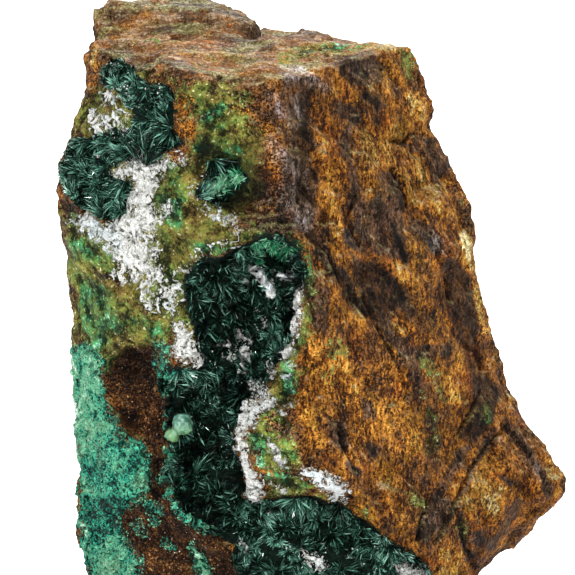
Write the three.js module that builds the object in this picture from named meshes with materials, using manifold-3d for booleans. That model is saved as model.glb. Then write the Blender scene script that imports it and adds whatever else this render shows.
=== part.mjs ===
// A broken hand specimen of atacamite, in millimetres, +Z up, standing on its flat base at z = 0.
// -Y is the showy side: a weathered block of brown ironstone whose front has hollows lined with mats of
// dark green atacamite crystals, coatings of white clay, a turquoise crust and a bead of green chrysocolla.
import * as THREE from "three";
import { mergeVertices } from "three/addons/utils/BufferGeometryUtils.js";
import Module from "manifold-3d";

const wasm = await Module();
wasm.setup();

// ---- Sizes -------------------------------------------------------------------------------------
const ROWS = 41; // facets from the base to the rim
const CAP_RINGS = 6; // rings of facets from the rim to the middle of the top
const TOP_MIDDLE = new THREE.Vector3(-4.5, 0.5, 61.6);
const LUMPS = { size: 5, height: 0.22 };
const FRACTURE = { size: 9, slope: 0.2, step: 0.5 }; // the broken facets: how wide, how steep, how far apart
const BACK_FRACTURE = 2.6; // how many times rougher the back is than the front
const SETTLE = 4; // height over which the relief fades out above the base
const GAP = 0.34; // clear space between a coating and the stone
const STONE_TOLERANCE = 0.045; // facets this close to flat are merged
const COATING_TOLERANCE = 0.08;
const COATING_SLOPE = 1.6; // a coating reaches its full thickness this far inside its border
const COATING_RIM = 0.4; // the share of the thickness that it has at the border
const LUMP_SIZE = 2.2;
const COATING_FOOT = 0.6; // no coating comes nearer to the base than this

// The corner lines of the block, counter-clockwise from above, each from the base up to the rim as
// [z, x, y]. Between a line and the next lie `steps` columns of facets.
const CORNERS = [
  {
    at: "left edge",
    steps: 4,
    line: [
      [0, -22.3, 1], [1.5, -23.2, 1], [3.8, -24.3, 1], [6, -24, 1], [9, -23.9, 1], [12.4, -22.9, 1],
      [15.5, -23.3, 1], [20, -23.7, 1], [24.4, -24.2, 1], [29, -23.7, 1], [35.8, -24.3, 1], [40, -24.8, 0.5],
      [44.7, -25.4, 0], [47, -25.2, 0], [51.4, -23.3, 0], [54.5, -21.8, 0], [57, -21.2, 0], [60.3, -21, 0],
    ],
  },
  {
    at: "left front",
    steps: 5,
    line: [
      [0, -18.5, -6.5], [8, -19, -7.5], [16, -19.5, -7], [24, -20, -6.5], [30, -19.8, -7.5], [38, -20.2, -8],
      [45, -21, -8], [52, -19.2, -7.2], [60, -17.4, -6],
    ],
  },
  {
    at: "hollow, left side",
    steps: 6,
    line: [
      [0, -11.5, -11.5], [8, -12, -12.3], [16, -12.6, -11.8], [24, -12.8, -11.6], [32, -12.8, -12.4],
      [40, -13, -13], [46, -13.4, -13.2], [53, -12.4, -12.4], [59.5, -11.4, -10.6],
    ],
  },
  {
    at: "hollow, right side",
    steps: 6,
    line: [
      [0, -3.5, -14.6], [8, -4, -15], [16, -5, -15], [24, -5, -15], [34, -5, -15.4], [44, -5.4, -15.6],
      [52, -6, -15], [58.2, -6.6, -13.4],
    ],
  },
  {
    at: "front ridge",
    steps: 4,
    line: [
      [0, 10.5, -14.4], [6, 11.5, -15], [11, 9.5, -15.6], [16, 6, -16.2], [24, 2.6, -16.6], [34, 2.8, -16.6],
      [42, 2, -16.4], [50, -0.2, -16], [59.3, -2, -14.4],
    ],
  },
  {
    at: "right face, inner",
    steps: 4,
    line: [
      [0, 15, -9.8], [6, 16.4, -10.4], [11, 16.2, -10.6], [20, 11, -11.9], [32, 9, -11.9], [45, 5.8, -11.8],
      [59.2, 2.6, -10.4],
    ],
  },
  {
    at: "right face, outer",
    steps: 4,
    line: [
      [0, 18.4, -4.4], [6, 22, -4.6], [11, 24.6, -4.6], [20, 19.4, -5.6], [32, 15.6, -5.8], [45, 12.6, -5.4],
      [60.2, 7.8, -4.6],
    ],
  },
  {
    at: "right edge",
    steps: 3,
    line: [
      [0, 20.6, 1], [1, 21.6, 2], [2.3, 22.8, 2], [3.5, 23.8, 2], [4.6, 25.4, 2], [5.8, 26.7, 2], [7, 27.4, 2],
      [8.1, 28.6, 2], [9.3, 30.8, 2], [10.2, 31.9, 2], [11.2, 31.6, 2], [13, 30.4, 2], [18.5, 26.8, 2],
      [22, 25.1, 2], [25.3, 24.2, 2], [28.8, 22.8, 2], [35.6, 21.3, 2], [38.9, 21.5, 2], [40.6, 20.4, 2],
      [42, 21, 2], [43.4, 20.5, 2], [46, 19.2, 2], [50.2, 16.9, 2], [52.2, 15.6, 2], [53.4, 16.7, 2],
      [54.6, 16.2, 2], [56.8, 15, 2], [59.4, 14.1, 1.4], [60.5, 13, 1],
    ],
  },
  {
    at: "right back",
    steps: 3,
    line: [
      [0, 17.6, 7.6], [6, 23, 8], [11, 26, 8.2], [18, 22.4, 9.4], [28, 18, 10], [40, 16.4, 9.6],
      [50, 12.4, 9.4],
      [59.3, 10.6, 7.4],
    ],
  },
  {
    at: "back, right of middle",
    steps: 4,
    line: [
      [0, 9, 13.6], [9, 13, 15.4], [18, 12.6, 17], [30, 9.4, 16.2], [38, 9, 14.4], [50, 6.4, 14.4],
      [58.7, 4.6, 12.2],
    ],
  },
  {
    at: "back ridge",
    steps: 3,
    line: [
      [0, -1, 16.2], [10, 1.4, 18.4], [21, 1, 19], [27, -0.4, 17.2], [40, -0.6, 17], [52, -1.4, 15.4],
      [60, -1.4, 13.4],
    ],
  },
  {
    at: "back, left of middle",
    steps: 3,
    line: [
      [0, -9, 14.2], [12, -8.4, 16.2], [24, -8.8, 16.4], [34, -9.2, 14.6], [48, -8.6, 15],
      [56, -8.4, 14.6], [64.2, -8.3, 13],
    ],
  },
  {
    at: "back left",
    steps: 3,
    line: [
      [0, -16, 12], [10, -16.6, 13.6], [22, -17, 14], [36, -17.4, 12.8], [48, -17.8, 13],
      [58, -16.8, 13.2], [65.8, -15.6, 11.6],
    ],
  },
  {
    at: "left back",
    steps: 3,
    line: [
      [0, -20.8, 6.8], [12, -21.8, 7.6], [24, -22.6, 7.8], [38, -23, 7.4], [47, -23.2, 7.2],
      [56, -21.6, 7.6], [64.6, -22.4, 7.4],
    ],
  },
];

// Hollows pressed into the front: along `path`, a list of [x, z] points, the face goes back by `depth`
// within `radius`, on a wall that is `wall` wide.
const HOLLOWS = [
  { at: "upper pocket", path: [[-20, 46], [-15, 50.5]], radius: 5.2, wall: 3.2, depth: 1.3 },
  { at: "side pocket", path: [[-6.4, 48.6], [-4.8, 46]], radius: 3.2, wall: 2.6, depth: 2.2 },
  { at: "main hollow, top", path: [[-2.2, 38], [-2.8, 33]], radius: 5.1, wall: 2.4, depth: 4.6 },
  { at: "main hollow, middle", path: [[-6.4, 34], [-7.4, 26]], radius: 4.4, wall: 3.2, depth: 2.8 },
  { at: "main hollow, foot", path: [[-8, 25], [-8.2, 17], [-5, 11]], radius: 4.6, wall: 3, depth: 3 },
  { at: "rusty hollow", path: [[-16, 27], [-15, 20], [-12.4, 16]], radius: 3.8, wall: 2.8, depth: 3.4 },
  { at: "rusty shelf", path: [[-13, 8.6], [-8, 6]], radius: 3.4, wall: 3, depth: 1.4 },
  { at: "lower hollow", path: [[-2.5, 9.6], [4, 9], [11, 3.4]], radius: 5.7, wall: 2.6, depth: 2.8 },
  { at: "groove by the ridge", path: [[0.4, 57.5], [2.2, 47], [4, 40]], radius: 2.6, wall: 2.4, depth: 1.1 },
];
const HOLLOW_REACH = 4; // the hollows fade out over this depth towards the sides

// Chips broken off the back: all beyond the plane through `point` is gone.
const CHIPS = [
  { at: "back left edge", point: [-18.8, 11, 30], normal: [-0.74, 0.66, -0.16] },
  { at: "foot of the back", point: [3, 17.6, 9], normal: [0.12, 0.84, -0.53] },
  { at: "right back", point: [20.8, 9, 20], normal: [0.5, 0.86, -0.08] },
  { at: "back, above the middle", point: [-5, 16, 38], normal: [-0.22, 0.95, -0.2] },
  { at: "right, below the point", point: [26.6, 4, 4.6], normal: [0.74, 0.3, -0.6] },
];
const CHIP_BLOCK = 80;

// The outlines of the coatings on the front, as [x, z] points. A coating stays `ZONE_GAP` clear of those
// named in CLEAR.
const ZONE_GAP = 0.9;
const OUTLINES = {
  atacamite_upper: [
    [-19.5, 58.6], [-15, 58.8], [-12, 57], [-11, 54], [-11.8, 51.4], [-14.8, 50.2], [-16.6, 48.6],
    [-16.6, 46],
    [-17.4, 44], [-19.4, 42.8], [-22, 43.4], [-23.6, 45], [-23.8, 47.6], [-22.8, 49.8], [-20.8, 51],
    [-18.6, 52],
    [-17.6, 54.4], [-18.6, 56.6],
  ],
  atacamite_side: [
    [-9, 50], [-6.4, 50.4], [-3.8, 49], [-2.9, 47], [-3.6, 45.2], [-5.6, 45], [-7.2, 46.2], [-9, 47.2],
  ],
  atacamite_centre: [
    [-5.4, 42], [-2.4, 43], [0, 42.4], [1.5, 40], [1.8, 36], [1, 32], [-1.2, 29.2], [-3.2, 27.4], [-5, 25],
    [-5.8, 21.8], [-6, 18.6], [-5.3, 15.4], [-4.6, 13], [-7, 11.6], [-9.6, 13], [-11, 15], [-10.2, 18],
    [-9.4, 21.4], [-10.8, 24], [-12.1, 26.2], [-11.6, 29], [-10, 30.6], [-9.4, 33], [-9.6, 36.8], [-8.2, 40],
  ],
  atacamite_lower: [
    [-3.4, 12.2], [-0.6, 14], [3, 14.6], [6.4, 14], [9, 11.6], [12.2, 8.2], [15.3, 5], [16, 2.4], [12.3, 1.6],
    [8, 3.2], [4.4, 4], [1.4, 5.9], [-2.2, 8], [-4, 10.2],
  ],
  clay_upper: [
    [-14.7, 48.6], [-12.4, 50], [-10.4, 49.4], [-11.6, 47], [-12.8, 45.2], [-12.4, 43], [-11, 40.4],
    [-10.6, 37],
    [-11, 33], [-12.4, 30.4], [-13.6, 32.6], [-14.8, 35.4], [-16.8, 38.6], [-19.8, 39.8], [-23, 40.6],
    [-23.2, 41.9], [-20.4, 42.4], [-17.4, 42.6], [-16, 44.4], [-15.6, 46.8],
  ],
  clay_lip: [
    [-2, 27.6], [-0.9, 26.4], [-2.4, 24.8], [-3.2, 22.6], [-3.3, 19.4], [-2.8, 17], [-2, 15.2], [-3.4, 14.6],
    [-4.6, 16.4], [-5, 19.2], [-4.8, 22.2], [-4, 25],
  ],
  clay_shelf: [[1, 17.2], [3, 18], [5.4, 17.2], [7.6, 15.4], [6.6, 14.6], [3.4, 15.4], [1.2, 15.6]],
  turquoise_crust: [
    [-22, 26.4], [-20, 28], [-18.9, 25], [-18, 21.8], [-17.2, 18.6], [-15.8, 15.6], [-14.8, 12.4], [-14.2, 9],
    [-13.2, 5.4], [-13.4, 2.4], [-17, 1.4], [-20.4, 2.4], [-21.4, 8], [-21.6, 13], [-22.2, 18], [-22.4, 23],
  ],
};
const CLEAR = {
  atacamite_lower: ["atacamite_centre"],
  clay_upper: ["atacamite_upper", "atacamite_centre"],
  clay_lip: ["atacamite_centre", "atacamite_lower"],
  clay_shelf: ["clay_lip", "atacamite_lower"],
  turquoise_crust: ["atacamite_centre"],
};

// What each coating is: its thickness, how much its surface lumps up, and its colour. Those with
// `sprays` carry that many fans of crystals.
const COATINGS = {
  atacamite_upper: { thickness: 0.9, lump: 0.5, sprays: 8, color: 0x0d3b2e },
  atacamite_side: { thickness: 0.8, lump: 0.3, sprays: 3, color: 0x1c6b4a },
  atacamite_centre: { thickness: 0.9, lump: 0.5, sprays: 12, color: 0x0b3328 },
  atacamite_lower: { thickness: 0.9, lump: 0.5, sprays: 8, color: 0x0d3b2e },
  clay_upper: { thickness: 0.6, lump: 0.4, color: 0xe4e0de },
  clay_lip: { thickness: 0.6, lump: 0.4, color: 0xe4e0de },
  clay_shelf: { thickness: 0.6, lump: 0.4, color: 0xe4e0de },
  turquoise_crust: { thickness: 0.6, lump: 0.7, color: 0x3fa98a },
};

// One crystal is a pointed four-sided blade, and one spray is a fan of them.
const CRYSTAL = { width: 1.25, thickness: 0.75, length: [2.6, 4] };
const SPRAY = { crystals: 4, tilt: 1.05, spacing: 2.5, sink: 0.35, border: 1, tipBorder: 0.3 };

// The bead is two round drops grown together: where, how large, and how far the first sinks in.
const BEAD = { at: [-11.3, 21.3], radius: 1.2, sunk: 0.6, second: { radius: 0.75, offset: [-1.1, 0.1, -1.2] } };
const BEAD_CLEARANCE = 1.7; // no coating within this distance of the bead's middle
const BEAD_TO_SPRAY = 2.9; // and no spray of crystals roots within this one

// ---- Smooth seeded noise -----------------------------------------------------------------------
function hash(i, j, k, seed) {
  let h = (i * 374761393 + j * 668265263 + k * 2147483647 + seed * 1274126177) | 0;
  h = Math.imul(h ^ (h >>> 13), 1274126177);
  return ((h ^ (h >>> 16)) >>> 0) / 4294967295;
}

const ease = (t) => t * t * (3 - 2 * t);
const mix = (a, b, t) => a + (b - a) * t;
const clamp = (t) => Math.min(1, Math.max(0, t));
const vector = ([x, y, z]) => new THREE.Vector3(x, y, z);
const UP = vector([0, 0, 1]);

// A value from -1 to 1 that varies over about `size`.
function noise(p, size, seed) {
  const at = [p.x / size, p.y / size, p.z / size];
  const cell = at.map(Math.floor);
  const t = at.map((a, n) => ease(a - cell[n]));
  let sum = 0;
  for (let corner = 0; corner < 8; corner++) {
    const step = [corner & 1, (corner >> 1) & 1, corner >> 2];
    const weight = step.reduce((w, s, n) => w * (s ? t[n] : 1 - t[n]), 1);
    sum += weight * hash(cell[0] + step[0], cell[1] + step[1], cell[2] + step[2], seed);
  }
  return sum * 2 - 1;
}

// The height of a broken surface: flat facets about `size` wide, each tilted its own way.
function fracture(p, { size, slope, step }, seed) {
  const cell = [p.x, p.y, p.z].map((c) => Math.floor(c / size));
  let nearest = { distance: Infinity };
  for (let n = 0; n < 27; n++) {
    const [i, j, k] = [n % 3, Math.floor(n / 3) % 3, Math.floor(n / 9)].map((s, m) => s - 1 + cell[m]);
    const random = (m) => hash(i, j, k, seed + m);
    const centre = new THREE.Vector3(i + random(1), j + random(2), k + random(3)).multiplyScalar(size);
    const away = new THREE.Vector3(p.x, p.y, p.z).sub(centre);
    if (away.length() < nearest.distance) {
      const tilt = new THREE.Vector3(random(4) - 0.5, random(5) - 0.5, random(6) - 0.5).normalize();
      nearest = { distance: away.length(), height: slope * away.dot(tilt) + step * (random(7) * 2 - 1) };
    }
  }
  return nearest.height;
}

// ---- Distances in the (x, z) plane ---------------------------------------------------------------
function segmentDistance(x, z, [ax, az], [bx, bz]) {
  const [dx, dz] = [bx - ax, bz - az];
  const t = clamp(((x - ax) * dx + (z - az) * dz) / (dx * dx + dz * dz));
  return Math.hypot(x - ax - dx * t, z - az - dz * t);
}

const pathDistance = (x, z, path) =>
  Math.min(...path.slice(1).map((point, i) => segmentDistance(x, z, path[i], point)));

// How far (x, z) lies inside an outline, and below 0 outside it.
function insideOutline(outline, x, z) {
  const crossings = outline.filter(([x0, z0], i) => {
    const [x1, z1] = outline[(i + 1) % outline.length];
    return z0 > z !== z1 > z && x < x0 + ((z - z0) / (z1 - z0)) * (x1 - x0);
  });
  const away = pathDistance(x, z, [...outline, outline[0]]);
  return crossings.length % 2 ? away : -away;
}

// ---- The block ---------------------------------------------------------------------------------
// The point of a corner line at share w of its height.
function cornerPoint(line, w) {
  const z = w * line[line.length - 1][0];
  const above = Math.max(1, line.findIndex((knot) => knot[0] >= z - 1e-9));
  const [z0, x0, y0] = line[above - 1];
  const [z1, x1, y1] = line[above];
  const t = (z - z0) / (z1 - z0);
  return new THREE.Vector3(mix(x0, x1, t), mix(y0, y1, t), z);
}

// How far the hollows press the front back at (x, z).
const hollowDepth = (x, z) =>
  Math.max(
    0,
    ...HOLLOWS.map(({ path, radius, wall, depth }) => {
      const inside = radius - pathDistance(x, z, path);
      return depth * ease(clamp(inside / wall));
    }),
  );

// Lumps and broken facets, along the outward normal n. The sides keep their outline.
function relief(p, n) {
  const broken = fracture(p, FRACTURE, 3) * mix(1, BACK_FRACTURE, clamp((p.y - 3) / 5));
  const flank = Math.max(Math.abs(n.x), 0.7 * Math.abs(n.z));
  return (LUMPS.height * noise(p, LUMPS.size, 1) + broken) * mix(1, 0.3, flank) * clamp(p.z / SETTLE);
}

const columns = CORNERS.reduce((sum, corner) => sum + corner.steps, 0);

// The side of the block: one row of points for each height, from the base up to the rim.
function sideRows() {
  const rows = [];
  for (let j = 0; j <= ROWS; j++) {
    const row = [];
    CORNERS.forEach((corner, c) => {
      const next = CORNERS[(c + 1) % CORNERS.length];
      const [a, b] = [corner, next].map((k) => cornerPoint(k.line, j / ROWS));
      for (let s = 0; s < corner.steps; s++) {
        const p = a.clone().lerp(b, s / corner.steps);
        if (p.y < -1) p.y += hollowDepth(p.x, p.z) * clamp((-1 - p.y) / HOLLOW_REACH);
        row.push(p);
      }
    });
    rows.push(row);
  }
  return rows;
}

function blockMesh() {
  const rows = sideRows();
  const rim = rows[ROWS];
  for (let r = 1; r < CAP_RINGS; r++) rows.push(rim.map((p) => p.clone().lerp(TOP_MIDDLE, r / CAP_RINGS)));
  const points = rows.flat();
  const top = points.push(TOP_MIDDLE) - 1;
  const bottom = points.push(new THREE.Vector3(-1, 0, 0)) - 1;
  const faces = [];
  for (let j = 0; j + 1 < rows.length; j++)
    for (let i = 0; i < columns; i++) {
      const next = (i + 1) % columns;
      const [a, b] = [j * columns + i, j * columns + next];
      const [d, c] = [a + columns, b + columns];
      const across = points[a].distanceTo(points[c]) < points[b].distanceTo(points[d]);
      faces.push(...(across ? [[a, b, c], [a, c, d]] : [[a, b, d], [b, c, d]]));
    }
  const last = (rows.length - 1) * columns;
  for (let i = 0; i < columns; i++) {
    const next = (i + 1) % columns;
    faces.push([last + i, last + next, top], [next, i, bottom]);
  }
  return { points, faces };
}

function vertexNormals({ points, faces }) {
  const normals = points.map(() => new THREE.Vector3());
  for (const [a, b, c] of faces) {
    const u = points[b].clone().sub(points[a]);
    const n = u.cross(points[c].clone().sub(points[a]));
    for (const i of [a, b, c]) normals[i].add(n);
  }
  return normals.map((n) => n.normalize());
}

// The mesh with each point moved out by distance(point, normal). The base stays flat.
function pushOut(mesh, distance) {
  const normals = vertexNormals(mesh);
  const points = mesh.points.map((p, i) => {
    const moved = p.clone().addScaledVector(normals[i], distance(p, normals[i]));
    if (p.z === 0) moved.z = 0;
    return moved;
  });
  return { points, faces: mesh.faces };
}

// ---- Solids ------------------------------------------------------------------------------------
function solid({ points, faces }) {
  return new wasm.Manifold(
    new wasm.Mesh({
      numProp: 3,
      vertProperties: new Float32Array(points.flatMap((p) => [p.x, p.y, p.z])),
      triVerts: new Uint32Array(faces.flat()),
    }),
  );
}

// The solid of a closed three.js geometry.
function solidOf(geometry) {
  const bare = geometry.clone();
  for (const name of ["normal", "uv"]) bare.deleteAttribute(name);
  const merged = mergeVertices(bare, 1e-4);
  return new wasm.Manifold(
    new wasm.Mesh({
      numProp: 3,
      vertProperties: merged.attributes.position.array,
      triVerts: new Uint32Array(merged.index.array),
    }),
  );
}

const largestBody = (made) => made.decompose().reduce((a, b) => (a.volume() > b.volume() ? a : b));

function geometryOf(made) {
  const { vertProperties, triVerts } = made.getMesh();
  return new THREE.BufferGeometry()
    .setAttribute("position", new THREE.BufferAttribute(vertProperties, 3))
    .setIndex(new THREE.BufferAttribute(triVerts, 1));
}

// ---- The matrix --------------------------------------------------------------------------------
const block = pushOut(blockMesh(), relief);
const blockNormals = vertexNormals(block);

function chippedBlock() {
  let made = solid(block);
  for (const { point, normal } of CHIPS) {
    const box = new THREE.BoxGeometry(CHIP_BLOCK, CHIP_BLOCK, CHIP_BLOCK)
      .translate(0, 0, CHIP_BLOCK / 2)
      .applyQuaternion(new THREE.Quaternion().setFromUnitVectors(UP, vector(normal).normalize()))
      .translate(...point);
    made = made.subtract(solidOf(box));
  }
  return largestBody(made).simplify(STONE_TOLERANCE);
}

// ---- Coatings ----------------------------------------------------------------------------------
const clearOfStone = solid(pushOut(block, () => GAP));

// The room in front of an outline grown by `grow`, from y = 2 towards the front.
function room(name, grow) {
  const flat = new wasm.CrossSection([OUTLINES[name]], "EvenOdd").offset(grow, "Miter");
  return flat.extrude(60).rotate([90, 0, 0]).translate([0, 2, 0]);
}

const beadCentre = (() => {
  const [x, z] = BEAD.at;
  const over = block.points
    .filter((p) => p.y < 0)
    .reduce((a, b) => (Math.hypot(a.x - x, a.z - z) < Math.hypot(b.x - x, b.z - z) ? a : b));
  return new THREE.Vector3(x, over.y - BEAD.radius + BEAD.sunk, z);
})();

// A flat-faced crystal from `root` along `direction`.
function crystal(root, direction, length, spin) {
  const { width, thickness } = CRYSTAL;
  const blade = new THREE.ConeGeometry(0.5, length, 4)
    .rotateX(Math.PI / 2)
    .scale(width, thickness, 1)
    .translate(0, 0, length / 2)
    .rotateZ(spin)
    .applyQuaternion(new THREE.Quaternion().setFromUnitVectors(UP, direction));
  return solidOf(blade.translate(root.x, root.y, root.z));
}

// The fans of crystals that stand on a coating, away from its border.
function sprays(name, count) {
  const inside = (p) => insideOutline(OUTLINES[name], p.x, p.z);
  const places = block.points.flatMap((p, i) => (p.y < 0 && inside(p) > SPRAY.border ? [i] : []));
  const roots = [];
  const made = [];
  for (const i of places.sort((a, b) => hash(a, 1, 2, 11) - hash(b, 1, 2, 11))) {
    const p = block.points[i];
    const crowded = roots.some((root) => root.distanceTo(p) < SPRAY.spacing);
    if (roots.length >= count || crowded || beadCentre.distanceTo(p) < BEAD_TO_SPRAY) continue;
    roots.push(p);
    const out = blockNormals[i];
    const side = new THREE.Vector3(1, 0, 0).cross(out).normalize();
    for (let n = 0; n < SPRAY.crystals; n++) {
      const random = (m) => hash(roots.length, n, m, 13);
      const direction = out
        .clone()
        .applyAxisAngle(side, SPRAY.tilt * mix(0.3, 1, random(1)))
        .applyAxisAngle(out, ((n + random(0)) / SPRAY.crystals) * 2 * Math.PI);
      const length = mix(...CRYSTAL.length, random(2));
      const root = p.clone().addScaledVector(out, GAP + SPRAY.sink);
      const end = root.clone().addScaledVector(direction, length);
      if (inside(end) > SPRAY.tipBorder) made.push(crystal(root, direction, length, Math.PI * random(3)));
    }
  }
  return made;
}

function coating(name) {
  const { thickness, lump, sprays: count } = COATINGS[name];
  const rise = (p) => {
    const full = ease(clamp(insideOutline(OUTLINES[name], p.x, p.z) / COATING_SLOPE));
    return mix(COATING_RIM, 1, full) * thickness + full * lump * (0.5 + 0.5 * noise(p, LUMP_SIZE, 7));
  };
  let made = solid(pushOut(block, (p) => GAP + rise(p))).intersect(room(name, 0));
  for (const crystalMade of count ? sprays(name, count) : []) made = made.add(crystalMade);
  for (const other of CLEAR[name] ?? []) made = made.subtract(room(other, ZONE_GAP));
  if (name === "atacamite_centre") {
    const ball = new THREE.IcosahedronGeometry(BEAD_CLEARANCE, 2).translate(...beadCentre);
    made = made.subtract(solidOf(ball));
  }
  made = made.subtract(clearOfStone).trimByPlane([0, 0, 1], COATING_FOOT);
  return largestBody(made).simplify(COATING_TOLERANCE);
}

// ---- The bead ----------------------------------------------------------------------------------
function bead() {
  const large = new THREE.IcosahedronGeometry(BEAD.radius, 2).translate(...beadCentre);
  const small = new THREE.IcosahedronGeometry(BEAD.second.radius, 1)
    .translate(...beadCentre.clone().add(vector(BEAD.second.offset)));
  return largestBody(solidOf(large).add(solidOf(small)).subtract(clearOfStone));
}

// ---- The specimen ------------------------------------------------------------------------------
function piece(name, made, color, roughness) {
  const material = new THREE.MeshStandardMaterial({ color, roughness, metalness: 0 });
  const mesh = new THREE.Mesh(geometryOf(made), material);
  mesh.name = name;
  return mesh;
}

const specimen = new THREE.Group();
specimen.add(piece("matrix", chippedBlock(), 0x7a4a22, 0.9));
for (const [name, { color, sprays: count }] of Object.entries(COATINGS))
  specimen.add(piece(name, coating(name), color, count ? 0.3 : 0.85));
specimen.add(piece("chrysocolla_bead", bead(), 0x3f8f74, 0.25));

export default specimen;
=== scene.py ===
"""Atacamite specimen: a broken block of ironstone whose hollows are lined with dark green crystals.

The block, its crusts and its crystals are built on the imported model, in metres. Outlines of colour and
growth are points of the front view, which is 575 points wide and high.
"""

from types import SimpleNamespace

import bpy
import numpy as np
from bpy.props import FloatProperty, FloatVectorProperty, IntProperty, PointerProperty
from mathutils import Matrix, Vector


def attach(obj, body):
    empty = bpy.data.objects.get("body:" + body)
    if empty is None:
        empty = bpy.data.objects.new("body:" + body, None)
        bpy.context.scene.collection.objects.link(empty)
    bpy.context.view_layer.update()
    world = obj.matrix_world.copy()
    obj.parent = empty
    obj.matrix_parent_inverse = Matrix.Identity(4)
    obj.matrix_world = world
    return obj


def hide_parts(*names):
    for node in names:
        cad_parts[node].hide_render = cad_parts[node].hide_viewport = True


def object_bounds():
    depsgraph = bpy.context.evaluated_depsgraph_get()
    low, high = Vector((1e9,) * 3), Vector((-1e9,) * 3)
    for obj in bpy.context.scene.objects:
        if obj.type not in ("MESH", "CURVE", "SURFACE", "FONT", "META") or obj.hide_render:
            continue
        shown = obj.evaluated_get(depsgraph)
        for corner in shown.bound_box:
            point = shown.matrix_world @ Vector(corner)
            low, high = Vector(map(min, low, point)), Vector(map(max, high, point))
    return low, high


bl_info = {
    "name": "Atacamite specimen",
    "version": (1, 0, 0),
    "blender": (4, 5, 0),
    "location": "View3D > Sidebar > Specimen",
    "description": "Builds a mineral specimen: ironstone, clay, crusts and sprays of green crystals",
    "category": "Add Mesh",
}

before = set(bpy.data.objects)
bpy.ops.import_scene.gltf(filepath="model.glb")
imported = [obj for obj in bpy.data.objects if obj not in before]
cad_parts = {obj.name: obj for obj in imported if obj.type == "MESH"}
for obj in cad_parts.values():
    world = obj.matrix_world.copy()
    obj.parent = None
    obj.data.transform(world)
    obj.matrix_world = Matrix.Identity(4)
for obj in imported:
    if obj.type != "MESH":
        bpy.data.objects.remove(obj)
CAD_BOX = [list(corner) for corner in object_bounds()]
MM = 0.001
BOX_LOW, BOX_HIGH = (np.array(corner) / MM for corner in CAD_BOX)

# ---- The front view ----------------------------------------------------------
VIEW_DISTANCE = 420.0  # mm from the eye to the middle of the specimen
VIEW_MIDDLE = 34.0  # mm above the base
VIEW_TILT = np.radians(12.0)
VIEW_SIZE = 575  # points wide and high
VIEW_SCALE = 0.11  # mm a point at the middle of the specimen

EYE = np.array([0, -VIEW_DISTANCE * np.cos(VIEW_TILT), VIEW_MIDDLE + VIEW_DISTANCE * np.sin(VIEW_TILT)])
ACROSS = np.array([1.0, 0, 0])
UPWARD = np.array([0, np.sin(VIEW_TILT), np.cos(VIEW_TILT)])
AHEAD = np.array([0, np.cos(VIEW_TILT), -np.sin(VIEW_TILT)])
FOCAL = VIEW_DISTANCE / VIEW_SCALE


def front_view(points):
    """Where points in mm lie in the front view, as (u to the right, v down)."""
    away = points - EYE
    depth = away @ AHEAD
    u = VIEW_SIZE / 2 + FOCAL * (away @ ACROSS) / depth
    v = VIEW_SIZE / 2 - FOCAL * (away @ UPWARD) / depth
    return np.stack([u, v], axis=1)


def area(*outline):
    """All inside an outline."""
    return ("area", 0.0, outline)


def stroke(radius, *path):
    """All within radius of a path."""
    return ("stroke", radius, path)


def strokes(radius, *paths):
    """A stroke along each path."""
    return [stroke(radius, *path) for path in paths]


# Where each growth and colour lies in the front view.
SIDE_HEART = area((203, 184), (222, 174), (238, 171), (248, 179), (236, 191), (222, 201), (205, 199))
HOLLOW = area(
    (206, 262), (246, 258), (296, 268), (284, 300), (274, 350), (250, 346), (240, 410), (206, 410),
)
HOLLOW_CROWN = area((248, 243), (262, 236), (284, 238), (292, 250), (280, 262), (262, 262), (250, 258))
SHELF_FILM = area((262, 418), (276, 410), (292, 430), (302, 456), (296, 470), (270, 466), (256, 446))
UPPER_MAT = area(
    (106, 66), (112, 59), (129, 62), (134, 72), (142, 82), (160, 84), (173, 91), (176, 111), (176, 129),
    (187, 145), (175, 150), (152, 152), (146, 164), (134, 166), (122, 162), (114, 165), (111, 174),
    (119, 181), (129, 179), (132, 187), (129, 198), (131, 211), (122, 214), (111, 221), (101, 221),
    (91, 210), (78, 206), (66, 193), (60, 174), (63, 155), (72, 140), (88, 139), (96, 134), (106, 133),
    (117, 128), (131, 129), (133, 114), (124, 102), (117, 91), (104, 84), (101, 72),
)
SIDE_MAT = area(
    (212, 160), (226, 162), (238, 162), (241, 172), (250, 172), (250, 180), (240, 186), (236, 193),
    (224, 196), (220, 206), (208, 202), (195, 196), (192, 188), (205, 184), (207, 174),
)
CLAY_TUFT = area((111, 238), (116, 234), (124, 235), (127, 243), (126, 250), (118, 249))
CENTRE_MAT = area(
    (248, 242), (265, 234), (284, 234), (298, 246), (307, 262), (306, 280), (297, 300), (294, 331),
    (288, 352), (277, 364), (266, 378), (265, 392), (250, 401), (246, 412), (234, 432), (239, 450),
    (241, 465), (244, 481), (242, 496), (252, 506), (256, 540), (232, 546), (217, 533), (198, 526),
    (186, 515), (173, 496), (173, 486), (162, 477), (166, 463), (176, 447), (196, 446), (200, 425),
    (192, 404), (169, 401), (160, 392), (160, 372), (170, 366), (184, 368), (202, 366), (197, 350),
    (195, 338), (193, 321), (188, 306), (186, 295), (183, 280), (188, 274), (195, 260), (221, 257),
    (233, 246),
)
BEAD_HOLLOW = area((168, 398), (194, 400), (204, 426), (198, 450), (176, 450), (166, 440))
LOWER_MAT = area(
    (244, 500), (262, 500), (285, 497), (305, 494), (325, 500), (345, 504), (362, 516), (380, 530),
    (400, 545), (418, 558), (432, 574), (428, 592), (400, 604), (340, 612), (280, 606), (245, 590),
    (232, 560),
)
MATS = {
    "atacamite_upper": [UPPER_MAT, CLAY_TUFT],
    "atacamite_side": [SIDE_MAT],
    "atacamite_centre": [CENTRE_MAT, BEAD_HOLLOW],
    "atacamite_lower": [LOWER_MAT],
}
EVERY_MAT = [shape for shapes in MATS.values() for shape in shapes]
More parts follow.
